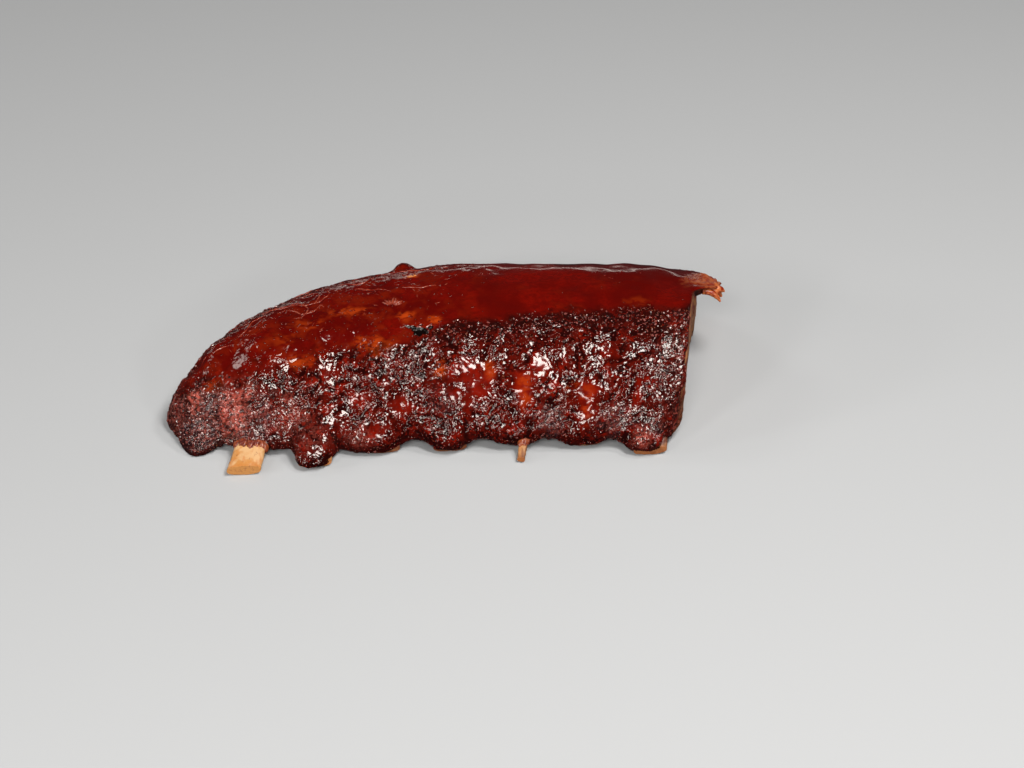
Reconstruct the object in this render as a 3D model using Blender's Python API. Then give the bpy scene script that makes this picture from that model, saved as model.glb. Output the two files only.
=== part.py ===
"""A half rack of glazed pork back ribs, lying bone side down.

Metres, +Z up. +X runs along the rack, from its tapered end to the end where it was cut through. The
tips of the ribs point to -Y and the thick loin side is at +Y. The origin is on the plane that the rack
lies on, in the middle of its footprint. Run it with: blender --background --python part.py
"""

import math

import bmesh
import bpy
from mathutils import Vector, noise

MM = 0.001

# The rack as a whole. X is measured along its front edge.
TAPER_END_X = -106.3 * MM  # the rounded end, where the rack narrows to nothing
CUT_END_X = 87.2 * MM  # the knife cut through the rack
FRONT_Y = -39 * MM  # the front edge of the meat, between two ribs
RACK_WIDTH = 94 * MM  # from that edge to the loin side
RACK_HEIGHT = 41 * MM

# How the rack narrows towards its rounded end
TAPER_LENGTH = 112 * MM
TAPER_CURVE = 1.8
WIDTH_POWER = 0.52
HEIGHT_POWER = 0.28
END_SET_BACK = 14 * MM  # how far the front edge curls back at the rounded end
END_CURL = 0.12  # of the taper
NOSE_FLATTENING, NOSE_FLAT_LENGTH = 0.3, 16 * MM  # the rounded end is lower than the taper alone makes it

# Slant: how far the loin side is shifted along the rack, and how far the loin end of each rib is
SLANT_AT_TAPER = 2 * MM
SLANT_AT_CUT = 11 * MM
RIB_SLANT = 13 * MM

# The cut end: its crest has sunk, and its front corner is rounded off
CREST_FALL, CREST_FALL_LENGTH = 3.2 * MM, 20 * MM
CORNER_ROUND, CORNER_DEPTH = 4.6 * MM, 11 * MM
CUT_EDGE_ROUND, CUT_EDGE_STEP = 1.6 * MM, 0.8 * MM  # how the bark rounds over at the cut
CUT_RIM = 1.3 * MM  # and how far inside its edge the flat of the cut begins

# One full-size cross-section of the meat, from the front lip over the top to the loin side and back
# along the hollow underside: how far each point is behind FRONT_Y, and its height.
TOP_SIDE = [
    (0, 8), (2.5, 15), (8.5, 24), (19, 33), (32, 38.6),
    (48, 41), (63, 39.8), (76, 35), (87, 26), (93.5, 13.5),
]
LOIN_FOOT = [(94, 4), (90, 0), (81, 0)]
UNDER_SIDE = [(74, 3), (62, 11), (45, 15.5), (27, 13), (13.5, 7.6)]
FRONT_LIP = [(6, 4.2), (1.6, 3.8)]
TOP_STEPS = 3  # points that the curve gets between two of those above
UNDER_STEPS = 2

# Stations along the rack
NOSE_STATIONS = 9
NOSE_LENGTH = 14 * MM
FIRST_STATION = 0.4 * MM
STATION_PITCH = 3.3 * MM

NOSE_CALM = 6 * MM  # the relief dies away over this length towards the rounded end

# Relief of the bark: depths and sizes of its humps
HUMP_DEPTH, HUMP_SIZE = 1.5 * MM, 13 * MM
KNOB_DEPTH, KNOB_SIZE = 1.0 * MM, 6.5 * MM
UNDER_RELIEF = 0.35  # share of it that the underside has
UNDER_CALM = 6 * MM  # below this height it dies away, so that the loin side rests flat
POOLED_RELIEF = 0.3  # share of it left where the sauce has pooled on top
POOL_FROM, POOL_FULL = 21 * MM, 29 * MM  # behind FRONT_Y
RIB_SWELL, RIB_SWELL_WIDTH = 0.9 * MM, 7 * MM  # the meat swells over each rib on the front face

# The nub of fat on the top edge, and the torn shred at the back corner of the cut end
NUB_X, NUB_BEHIND, NUB_RADIUS, NUB_HEIGHT = -21.1 * MM, 75 * MM, 3.4 * MM, 3.0 * MM
NUB_POWER = 3  # the higher, the rounder its top and the steeper its sides
SHRED_BEHIND, SHRED_HALF_WIDTH, SHRED_REACH, SHRED_LENGTH = 62.5 * MM, 8.6 * MM, 9.8 * MM, 9 * MM
SHRED_POWER = 3
SHRED_HEIGHTS = (20 * MM, 30 * MM)  # it begins at the first and is whole from the second
SHRED_DROOP = 2.4 * MM  # how far its tip hangs down
SHRED_ROOT = 3.4 * MM  # how much thicker it is at the cut than the rim beside it

# The lobes of meat along the front edge, over the tips of the ribs: the place of each along the edge, how
# far it reaches in front of FRONT_Y, half its width, and how much it droops. The first has no rib.
LOBES = [
    (-94.0 * MM, 4.5 * MM, 7.0 * MM, 2.6 * MM),
    (-67.6 * MM, 5.4 * MM, 12.5 * MM, 0.4 * MM),
    (-49.0 * MM, 15.0 * MM, 7.5 * MM, 2.0 * MM),
    (-29.1 * MM, 6.0 * MM, 12.0 * MM, 2.2 * MM),
    (-0.1 * MM, 4.6 * MM, 7.5 * MM, 2.2 * MM),
    (25.2 * MM, 1.8 * MM, 8.0 * MM, 1.6 * MM),
    (49.9 * MM, 1.8 * MM, 8.0 * MM, 1.8 * MM),
    (74.2 * MM, 5.2 * MM, 8.5 * MM, 2.2 * MM),
]
LOBE_DEPTH = 15 * MM  # how far back a lobe begins
LOBE_TOP = 17 * MM  # and how high up

# Each rib: its place along the front edge and how far its tip reaches in front of FRONT_Y
RIBS = [
    (-72.8 * MM, 16.5 * MM),
    (-47.6 * MM, 11.5 * MM),
    (-23.9 * MM, 2.8 * MM),
    (1.1 * MM, 1.6 * MM),
    (26.4 * MM, 8.4 * MM),
    (51.0 * MM, -1.6 * MM),
    (76.3 * MM, 3.6 * MM),
]
SPLINTERED_RIB = 4  # of the list above: its tip is broken off to a splinter
SPLINTER_HALF_WIDTH, SPLINTER_HALF_THICK, SPLINTER_SHIFT = 1.5 * MM, 1.0 * MM, 2.2 * MM

# A rib bone's path at full size, behind FRONT_Y and above the plate, and its flattened round section
BONE_PATH = [(8, 8.2), (26, 13.7), (45, 16.4), (62, 13.0), (78, 9.0), (95.2, 7.0)]
BONE_NECK = (-2.0 * MM, 4.7 * MM)
BONE_TIP_HEIGHT = 2.2 * MM
BONE_HALF_WIDTHS = (6.1 * MM, 5.5 * MM, 5.9 * MM)  # at the tip, the middle and the loin end
BONE_HALF_HEIGHTS = (2.0 * MM, 3.6 * MM, 3.3 * MM)
BONE_TIP_SKEW = 0.24  # the tips are sawn off aslant
BONE_SIDES, BONE_STATIONS = 12, 14
BONE_SQUARENESS = 2.5
BONE_RELIEF, BONE_RELIEF_SIZE = 0.25 * MM, 7 * MM
BONE_CLEARANCE = 0.35 * MM
GROOVE_PAST_LOIN_END = 6 * MM

BARK_COLOUR = (0.13, 0.012, 0.004, 1.0)
BONE_COLOUR = (0.76, 0.42, 0.17, 1.0)


def clear_scene():
    """Remove every object that the file opens with."""
    for obj in list(bpy.data.objects):
        bpy.data.objects.remove(obj)


def smoothstep(low, high, value):
    """0 below low, 1 above high, and a smooth rise between them."""
    share = min(1.0, max(0.0, (value - low) / (high - low)))
    return share * share * (3 - 2 * share)


def bump(distance, half_width, power=2):
    """A smooth hump of height 1 at distance 0, with steeper sides for a higher power."""
    return math.exp(-(abs(distance / half_width) ** power))


def spline_point(a, b, c, d, share):
    """The point at this share of the way from b to c on a Catmull-Rom curve through all four."""
    return tuple(
        0.5
        * (
            2 * q
            + (r - p) * share
            + (2 * p - 5 * q + 4 * r - s) * share**2
            + (3 * q - p - 3 * r + s) * share**3
        )
        for p, q, r, s in zip(a, b, c, d)
    )


def open_curve(points, count):
    """count points, evenly spread in parameter, on a smooth curve through the given ones."""
    padded = [points[0], *points, points[-1]]
    spans = len(points) - 1
    made = []
    for i in range(count):
        place = spans * i / (count - 1)
        span = min(int(place), spans - 1)
        made.append(spline_point(*padded[span : span + 4], place - span))
    return made


def section_outline():
    """The closed cross-section at full size, as (behind FRONT_Y, height) in metres."""
    corners = TOP_SIDE + LOIN_FOOT + UNDER_SIDE + FRONT_LIP
    count = len(corners)
    made = []
    for i in range(count):
        steps = TOP_STEPS if i < len(TOP_SIDE) - 1 else UNDER_STEPS
        around = [corners[(i + k) % count] for k in (-1, 0, 1, 2)]
        made += [spline_point(*around, step / steps) for step in range(steps)]
    return [(behind * MM, height * MM) for behind, height in made]


def taper(x):
    """0 at the rounded end, rising to 1 where the rack has its full size."""
    share = min(1.0, max(0.0, (x - TAPER_END_X) / TAPER_LENGTH))
    return 1 - (1 - share) ** TAPER_CURVE


def width_share(x):
    """The rack's width here, as a share of its full width."""
    return taper(x) ** WIDTH_POWER


def height_share(x):
    """The rack's height here, as a share of its full height."""
    nose = 1 - smoothstep(0, NOSE_FLAT_LENGTH, x - TAPER_END_X)
    return taper(x) ** HEIGHT_POWER * (1 - NOSE_FLATTENING * nose)


def front_y(x):
    """The front edge, which curls back at the rounded end."""
    near_end = max(0.0, 1 - (x - TAPER_END_X) / (END_CURL * TAPER_LENGTH))
    return FRONT_Y + END_SET_BACK * near_end**2


def slant(x):
    """How far the loin side is shifted along the rack, for a full-width rib that starts at x."""
    share = (x - TAPER_END_X) / (CUT_END_X - TAPER_END_X)
    return SLANT_AT_TAPER + (SLANT_AT_CUT - SLANT_AT_TAPER) * share**2


def placed(x, behind, height):
    """The world point of a section point at station x: slanted, and at its true distance from the front."""
    return Vector((x + slant(x) * behind / RACK_WIDTH, front_y(x) + behind, height))


def stations():
    """Places of the cross-sections along the rack, closer together at the rounded end."""
    nose = [
        TAPER_END_X + FIRST_STATION + (NOSE_LENGTH - FIRST_STATION) * (i / NOSE_STATIONS) ** 1.6
        for i in range(NOSE_STATIONS)
    ]
    start = TAPER_END_X + NOSE_LENGTH
    count = round((CUT_END_X - CUT_EDGE_ROUND - start) / STATION_PITCH)
    body = [start + (CUT_END_X - CUT_EDGE_ROUND - start) * i / count for i in range(count + 1)]
    return nose + body + [CUT_END_X]


def shape_front_edge(x, behind, height):
    """Pull a section point forward and down into the lobes of meat over the tips of the ribs."""
    reach = droop = 0.0
    for lobe_x, lobe_reach, half_width, lobe_droop in LOBES:
        near = bump(x - lobe_x, half_width, 4)
        reach += lobe_reach * near
        droop += lobe_droop * near
    edge = (1 - smoothstep(0, LOBE_DEPTH, behind)) * (1 - smoothstep(3 * MM, LOBE_TOP, height))
    edge *= smoothstep(0, 9 * MM, x - TAPER_END_X)
    return behind - reach * edge, height - droop * edge


def crest_fall(x, behind):
    """How far the top of the rack has sunk towards the cut end."""
    along = smoothstep(CUT_END_X - CREST_FALL_LENGTH, CUT_END_X, x)
    return CREST_FALL * along * smoothstep(30 * MM, 66 * MM, behind)


def relief(point, normal, x, behind):
    """How far the bark stands out of the plain surface at a point."""
    humps = HUMP_DEPTH * noise.noise(point / HUMP_SIZE)
    knobs = KNOB_DEPTH * noise.noise(point / KNOB_SIZE + Vector((7, 3, 5)))
    pooled = smoothstep(POOL_FROM, POOL_FULL, behind) * smoothstep(-0.2, 0.3, normal.z)
    share = 1 - (1 - POOLED_RELIEF) * pooled
    if normal.z < -0.3:
        share = UNDER_RELIEF * smoothstep(0.5 * MM, UNDER_CALM, point.z)
    height = (humps + knobs) * share
    front_face = smoothstep(0, 0.3, normal.z) * (1 - smoothstep(18 * MM, 40 * MM, behind))
    for rib_x, _ in RIBS:
        height += RIB_SWELL * front_face * bump(x - rib_x, RIB_SWELL_WIDTH)
    from_nub = math.hypot(x - NUB_X, behind - NUB_BEHIND)
    height += NUB_HEIGHT * bump(from_nub, NUB_RADIUS, NUB_POWER) * smoothstep(0, 0.3, normal.z)
    return height * smoothstep(0, NOSE_CALM, x - TAPER_END_X)


def shred_pull(x, behind, height):
    """How far the torn shred draws the top edge of the cut out along the rack."""
    along = smoothstep(CUT_END_X - SHRED_LENGTH, CUT_END_X, x)
    across = bump(behind - SHRED_BEHIND, SHRED_HALF_WIDTH, SHRED_POWER)
    return SHRED_REACH * along * across * smoothstep(*SHRED_HEIGHTS, height)


def shredded(x, behind, height):
    """The world point of a section point at station x, with the shred and the rounded corner."""
    pull = shred_pull(x, behind, height)
    height -= SHRED_DROOP * (pull / SHRED_REACH) ** 2
    return placed(x + pull - corner_pull(x, behind), behind, height)


def corner_pull(x, behind):
    """How far the front corner of the cut end is rounded off."""
    along = smoothstep(CUT_END_X - SHRED_LENGTH, CUT_END_X, x)
    return CORNER_ROUND * along * (1 - smoothstep(0, CORNER_DEPTH, behind))


def section_at(x, outline):
    """Section points at this station, as (behind, height), before relief."""
    wide, high = width_share(x), height_share(x)
    step_in = CUT_EDGE_STEP if x >= CUT_END_X else 0.0
    points = []
    count = len(outline)
    for i, (behind, height) in enumerate(outline):
        behind, height = shape_front_edge(x, behind * wide, height * high)
        height -= crest_fall(x, behind) * min(1.0, height / (25 * MM))
        before, after = outline[i - 1], outline[(i + 1) % count]
        outward = Vector((before[1] - after[1], after[0] - before[0])).normalized()
        points.append((behind - outward.x * step_in, height - outward.y * step_in))
    return points


def grow_skin(bm, rings):
    """Join rings of points with quads, and return the rows of vertices."""
    rows = [[bm.verts.new(point) for point in ring] for ring in rings]
    count = len(rows[0])
    for first, second in zip(rows, rows[1:]):
        for i in range(count):
            after = (i + 1) % count
            bm.faces.new((first[i], second[i], second[after], first[after]))
    return rows


def flat_cap(bm, ring):
    """One polygon over an end ring, cut into triangles."""
    face = bm.faces.new(ring)
    bmesh.ops.triangulate(bm, faces=[face], ngon_method="BEAUTY")


def arched_cap(bm, ring, back, facing):
    """Triangles between the outer curve and the underside of an end ring, facing +X (1) or -X (-1)."""
    outer, under = 0, len(ring) - 1
    corners = [(outer, under, outer + 1)]
    outer += 1
    while outer < back or under > back + 1:
        if under == back + 1 or (outer < back and ring[outer + 1].co.y <= ring[under - 1].co.y):
            corners.append((outer, under, outer + 1))
            outer += 1
        else:
            corners.append((outer, under, under - 1))
            under -= 1
    for corner in corners:
        bm.faces.new([ring[i] for i in corner[::facing]])


def new_object(name, bm, material):
    """Store a bmesh as a named object with one material, shaded smooth but for its sharp edges."""
    mesh = bpy.data.meshes.new(name)
    bm.to_mesh(mesh)
    bm.free()
    mesh.materials.append(material)
    mesh.shade_smooth()
    mesh.set_sharp_from_angle(angle=math.radians(50))
    obj = bpy.data.objects.new(name, mesh)
    bpy.context.scene.collection.objects.link(obj)
    return obj


def surface_material(name, colour, roughness, coat):
    """A plain glossy or dull surface."""
    material = bpy.data.materials.new(name)
    material.use_nodes = True
    shader = material.node_tree.nodes["Principled BSDF"]
    shader.inputs["Base Color"].default_value = colour
    shader.inputs["Roughness"].default_value = roughness
    shader.inputs["Coat Weight"].default_value = coat
    return material


def build_meat(material):
    """The whole slab of meat, with its bark, its hollow underside and its flat cut."""
    outline = section_outline()
    bm = bmesh.new()
    rings, places = [], []
    for x in stations():
        section = section_at(x, outline)
        rings.append([shredded(x, b, h) for b, h in section])
        places += [(x, b, h) for b, h in section]
    rows = grow_skin(bm, rings)
    bm.normal_update()
    verts = [vert for row in rows for vert in row]
    moves = [relief(vert.co, vert.normal, x, b) for vert, (x, b, h) in zip(verts, places)]
    for vert, move in zip(verts, moves):
        vert.co += vert.normal * move
        vert.co.z = max(vert.co.z, 0.0)
    edge, cut = rows[-1], []
    for vert, (x, b, h) in zip(edge, places[-len(edge):]):
        pull = shred_pull(x, b, h)
        inward = Vector((0, -vert.normal.y, -vert.normal.z)).normalized()
        inward *= CUT_RIM + SHRED_ROOT * pull / SHRED_REACH
        inward.x = -pull
        cut.append(bm.verts.new(vert.co + inward))
    for i, vert in enumerate(edge):
        after = (i + 1) % len(edge)
        bm.faces.new((vert, cut[i], cut[after], edge[after]))
    back = TOP_STEPS * (len(TOP_SIDE) - 1) + UNDER_STEPS
    arched_cap(bm, rows[0], back, -1)
    arched_cap(bm, cut, back, 1)
    return new_object("meat", bm, material)


def across(rib_x, behind, height):
    """The world point on a rib's line for a point of the full-size section, in the rack's size there."""
    x = rib_x
    for _ in range(5):
        here = behind * width_share(x)
        x = rib_x + (RIB_SLANT - slant(x)) * here / RACK_WIDTH
    return placed(x, here, height * height_share(x))


def bone_line(rib_x, reach):
    """Points of the rib's centre line, from its tip to its loin end."""
    front = [(-reach, BONE_TIP_HEIGHT)]
    if reach > 7 * MM:
        front.append(BONE_NECK)
    line = [
        Vector((rib_x + RIB_SLANT * behind / RACK_WIDTH, FRONT_Y + behind, height))
        for behind, height in front
    ]
    line += [across(rib_x, behind * MM, height * MM) for behind, height in BONE_PATH]
    line[-1].z = max(line[-1].z, BONE_HALF_HEIGHTS[2] + 2.2 * MM)
    return [Vector(point) for point in open_curve(line, BONE_STATIONS)]


def bone_rings(number, grow=0.0, past_tip=0.0, past_loin=0.0):
    """Upright rings of a rib bone, or of the groove for it when it is grown and run past its ends."""
    points = bone_line(*RIBS[number])
    splinter = number == SPLINTERED_RIB
    rings = []
    for i, centre in enumerate(points):
        step = points[min(i + 1, len(points) - 1)] - points[max(i - 1, 0)]
        along = Vector((step.x, step.y, 0)).normalized()
        side = Vector((along.y, -along.x, 0))
        share = i / (len(points) - 1)
        to_tip, to_loin = 1 - smoothstep(0, 0.22, share), smoothstep(0.6, 1, share)
        wide, high = (
            middle + (tip - middle) * to_tip + (loin - middle) * to_loin
            for tip, middle, loin in (BONE_HALF_WIDTHS, BONE_HALF_HEIGHTS)
        )
        if splinter:
            broken = 1 - smoothstep(0.16, 0.31, share)
            wide += (SPLINTER_HALF_WIDTH - wide) * broken
            high += (SPLINTER_HALF_THICK - high) * broken
            centre = centre + side * SPLINTER_SHIFT * broken - Vector((0, 0, 0.7 * MM)) * broken
        ring = []
        for k in range(BONE_SIDES):
            turn = 2 * math.pi * (k + 0.5) / BONE_SIDES
            round_x = math.copysign(abs(math.cos(turn)) ** (2 / BONE_SQUARENESS), math.cos(turn))
            round_z = math.copysign(abs(math.sin(turn)) ** (2 / BONE_SQUARENESS), math.sin(turn))
            out = Vector((side.x * round_x * wide, side.y * round_x * wide, round_z * high))
            wobble = 1 + BONE_RELIEF * noise.noise((centre + out) / BONE_RELIEF_SIZE) / wide
            margin = (side * round_x + Vector((0, 0, round_z))) * grow
            ring.append(centre + out * wobble + margin + along * skew(i, round_x * wide, splinter))
        rings.append(ring)
    tip_step = Vector((points[1].x - points[0].x, points[1].y - points[0].y, 0)).normalized()
    loin_step = (points[-1] - points[-2]).normalized()
    rings[0] = [point - tip_step * past_tip for point in rings[0]]
    rings[-1] = [point + loin_step * past_loin for point in rings[-1]]
    return rings


def skew(ring, sideways, splinter):
    """How far a point of the first ring is moved along the rib, so that the tip is sawn off aslant."""
    return BONE_TIP_SKEW * sideways if ring == 0 and not splinter else 0.0


def grow_bone(bm, rings):
    """A closed skin over the rings of a bone."""
    rows = grow_skin(bm, rings)
    flat_cap(bm, rows[0])
    flat_cap(bm, list(reversed(rows[-1])))


def build_bone(number, material):
    """One rib bone, from its sawn tip to its sawn loin end, resting on the plate where it reaches it."""
    bm = bmesh.new()
    grow_bone(bm, bone_rings(number))
    for vert in bm.verts:
        vert.co.z = max(vert.co.z, 0.0)
    return new_object(f"rib_bone_{number + 1}", bm, material)


def build_groove(number, collection):
    """The cutter that leaves the rib its bed in the meat, open below."""
    bm = bmesh.new()
    rings = bone_rings(number, BONE_CLEARANCE, BONE_CLEARANCE, GROOVE_PAST_LOIN_END)
    grow_bone(bm, rings)
    mesh = bpy.data.meshes.new(f"groove_{number + 1}")
    bm.to_mesh(mesh)
    bm.free()
    cutter = bpy.data.objects.new(mesh.name, mesh)
    collection.objects.link(cutter)
    cutter.hide_render = True
    cutter.display_type = "WIRE"
    return cutter


def main():
    """Build the meat and its ribs, and cut the ribs' beds."""
    clear_scene()
    bark = surface_material("glazed_bark", BARK_COLOUR, 0.35, 1.0)
    bone = surface_material("roasted_bone", BONE_COLOUR, 0.55, 0.1)
    meat = build_meat(bark)
    grooves = bpy.data.collections.new("grooves")
    bpy.context.scene.collection.children.link(grooves)
    for number in range(len(RIBS)):
        build_bone(number, bone)
        build_groove(number, grooves)
    cut = meat.modifiers.new("beds of the ribs", "BOOLEAN")
    cut.operation = "DIFFERENCE"
    cut.operand_type = "COLLECTION"
    cut.collection = grooves
    cut.solver = "EXACT"
    meat.modifiers.new("triangles", "TRIANGULATE")


main()
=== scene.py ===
"""Looks of a glazed half rack of pork back ribs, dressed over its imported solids.

Metres, +Z up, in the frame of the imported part: +X runs along the rack from its tapered end to its cut
end, the tips of the ribs point to -Y, and the thick loin side is at +Y.
"""

import logging
import math
from dataclasses import dataclass, field
from enum import Enum

import bpy
import numpy as np
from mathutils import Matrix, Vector, noise


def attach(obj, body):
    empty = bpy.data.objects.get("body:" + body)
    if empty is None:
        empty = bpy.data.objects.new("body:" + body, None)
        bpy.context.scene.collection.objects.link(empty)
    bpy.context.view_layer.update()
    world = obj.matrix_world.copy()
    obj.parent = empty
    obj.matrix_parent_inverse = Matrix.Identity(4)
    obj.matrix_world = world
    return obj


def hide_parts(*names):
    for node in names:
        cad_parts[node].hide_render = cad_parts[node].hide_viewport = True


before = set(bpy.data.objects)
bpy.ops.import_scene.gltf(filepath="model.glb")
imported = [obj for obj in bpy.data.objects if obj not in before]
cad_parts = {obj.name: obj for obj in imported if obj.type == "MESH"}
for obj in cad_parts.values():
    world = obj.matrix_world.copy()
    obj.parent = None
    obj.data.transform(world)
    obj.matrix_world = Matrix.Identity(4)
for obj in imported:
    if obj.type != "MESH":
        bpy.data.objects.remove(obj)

MM = 0.001
ROOT_BODY = "root"

log = logging.getLogger("rack")

Array = np.ndarray
Socket = bpy.types.NodeSocket
Pair = tuple[float, float]
Triple = tuple[float, float, float]
Colour = Triple
# Place along the rack, distance behind the front edge, half length, half depth (all in mm) and strength
Spots = tuple[tuple[float, float, float, float, float], ...]


class Slot(Enum):
    """The record's material slots."""

    BARK = "glazed_bark"
    BONE = "roasted_bone"


def smoothstep(low: float | Array, high: float | Array, value: float | Array) -> Array:
    """0 below low, 1 above high, and a smooth rise between them."""
    share = np.clip((value - low) / (high - low), 0.0, 1.0)
    return share * share * (3 - 2 * share)


def bump(distance: Array, half_width: float, power: float = 2) -> Array:
    """A smooth hump of height 1 at distance 0, with steeper sides for a higher power."""
    return np.exp(-np.abs(distance / half_width) ** power)


def noise_at(points: Array, size: float, shift: Triple = (0, 0, 0)) -> Array:
    """Smooth noise of about -1 to 1.

    Args:
        points: World points, in an array whose last axis is 3.
        size: Width of one swell of the noise, in metres.
        shift: Where in the noise the points lie, in swells.

    Returns:
        One value for each point, in the shape of the points.
    """
    flat = (points.reshape(-1, 3) / size + np.array(shift)).tolist()
    return np.fromiter(map(noise.noise, flat), float, len(flat)).reshape(points.shape[:-1])


def lumps_at(points: Array, size: float, shift: Triple) -> Array:
    """Rounded lumps with sharp creases between them, about 0 on average, in the shape of the points."""
    return np.abs(noise_at(points, size, shift)) * 2 - 0.4


def curve_through(points: list[Pair], steps: int, closed: bool) -> Array:
    """A Catmull-Rom curve.

    Args:
        points: The points that it passes through.
        steps: How many points each span between two of them is cut into.
        closed: Whether it runs back to its first point.

    Returns:
        The points of the curve, one a row.
    """
    knots = np.array(points, float)
    count = len(knots)
    ahead = np.arange(count if closed else count - 1)
    pick = (lambda i: knots[i % count]) if closed else (lambda i: knots[np.clip(i, 0, count - 1)])
    before, start, end, after = (pick(ahead + k)[:, None, :] for k in (-1, 0, 1, 2))
    t = (np.arange(steps) / steps)[None, :, None]
    made = 0.5 * (
        2 * start
        + (end - before) * t
        + (2 * before - 5 * start + 4 * end - after) * t**2
        + (3 * start - before - 3 * end + after) * t**3
    )
    made = made.reshape(-1, knots.shape[1])
    return made if closed else np.vstack([made, knots[-1:]])


def unit(vectors: Array) -> Array:
    """The vectors at length 1."""
    return vectors / np.maximum(np.linalg.norm(vectors, axis=-1, keepdims=True), 1e-12)


# --- wiring of nodes ---------------------------------------------------------------------------------


class Bench:
    """Adds and wires the nodes of one tree."""

    def __init__(self, tree: bpy.types.NodeTree) -> None:
        """Start on an empty tree."""
        self.tree = tree

    def node(self, kind: str, **settings: object) -> bpy.types.Node:
        """Add a node and give it these settings."""
        made = self.tree.nodes.new(kind)
        for name, value in settings.items():
            setattr(made, name, value)
        return made

    def feed(self, socket: Socket, value: object) -> None:
        """Link a socket to another one, or set it to a plain value."""
        if isinstance(value, bpy.types.NodeSocket):
            self.tree.links.new(value, socket)
        else:
            socket.default_value = value

    def maths(self, operation: str, *values: object) -> Socket:
        """A Math node on these values.

        Args:
            operation: Blender's name of the operation.
            values: Sockets or numbers.

        Returns:
            Its result.
        """
        made = self.node("ShaderNodeMath", operation=operation)
        for socket, value in zip(made.inputs, values):
            self.feed(socket, value)
        return made.outputs[0]

    def vector_maths(self, operation: str, *values: object) -> bpy.types.Node:
        """A Vector Math node on these values, which are sockets or triples."""
        made = self.node("ShaderNodeVectorMath", operation=operation)
        for socket, value in zip(made.inputs, values):
            self.feed(socket, value)
        return made


class Finish(Bench):
    """A procedural material on object coordinates and the piece's own attributes."""

    def __init__(self, name: str) -> None:
        """Start a material with one Principled shader."""
        self.material = bpy.data.materials.new(name)
        self.material.use_nodes = True
        super().__init__(self.material.node_tree)
        self.shader = self.tree.nodes["Principled BSDF"]
        self.place = self.node("ShaderNodeTexCoord").outputs["Object"]

    def attribute(self, name: str) -> Socket:
        """A number that the mesh holds at each of its points."""
        return self.node("ShaderNodeAttribute", attribute_name=name).outputs["Fac"]

    def noise(
        self,
        size: float,
        detail: float = 2.0,
        seed: float = 0.0,
        stretch: Triple = (1, 1, 1),
        twist: float = 0.0,
    ) -> Socket:
        """Noise of about 0.2 to 0.8.

        Args:
            size: Width of one swell, in metres.
            detail: How many finer layers lie on it.
            seed: Which noise it is.
            stretch: How much finer it is along each axis.
            twist: How far it is distorted.

        Returns:
            Its value.
        """
        place = self.place
        if stretch != (1, 1, 1):
            place = self.vector_maths("MULTIPLY", place, stretch).outputs[0]
        made = self.node("ShaderNodeTexNoise", noise_dimensions="4D")
        self.feed(made.inputs["Vector"], place)
        self.feed(made.inputs["W"], seed)
        self.feed(made.inputs["Scale"], 1 / size)
        self.feed(made.inputs["Detail"], detail)
        self.feed(made.inputs["Distortion"], twist)
        return made.outputs[0]

    def span(self, value: Socket, low: float, high: float, start: float = 0.0, end: float = 1.0) -> Socket:
        """Value from low to high made start to end, smoothly, and held beyond them."""
        made = self.node("ShaderNodeMapRange", interpolation_type="SMOOTHSTEP")
        for socket, number in zip(made.inputs, (value, low, high, start, end)):
            self.feed(socket, number)
        return made.outputs[0]

    def blend(self, share: object, first: object, second: object) -> Socket:
        """A colour between two, which are sockets or colours."""
        made = self.node("ShaderNodeMix", data_type="RGBA")
        self.feed(made.inputs[0], share)
        for socket, colour in ((made.inputs[6], first), (made.inputs[7], second)):
            self.feed(socket, colour if isinstance(colour, bpy.types.NodeSocket) else (*colour, 1.0))
        return made.outputs[2]

    def roughen(
        self, height: Socket, depth: float, over: Socket | None = None, strength: object = 1.0
    ) -> Socket:
        """A bumped normal.

        Args:
            height: 0 to 1, the shape of the bumps.
            depth: How high they are, in metres.
            over: The normal of coarser bumps that these lie on.
            strength: How much of them shows.

        Returns:
            The normal.
        """
        made = self.node("ShaderNodeBump")
        self.feed(made.inputs["Height"], height)
        self.feed(made.inputs["Distance"], depth)
        self.feed(made.inputs["Strength"], strength)
        if over is not None:
            self.feed(made.inputs["Normal"], over)
        return made.outputs[0]


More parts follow.
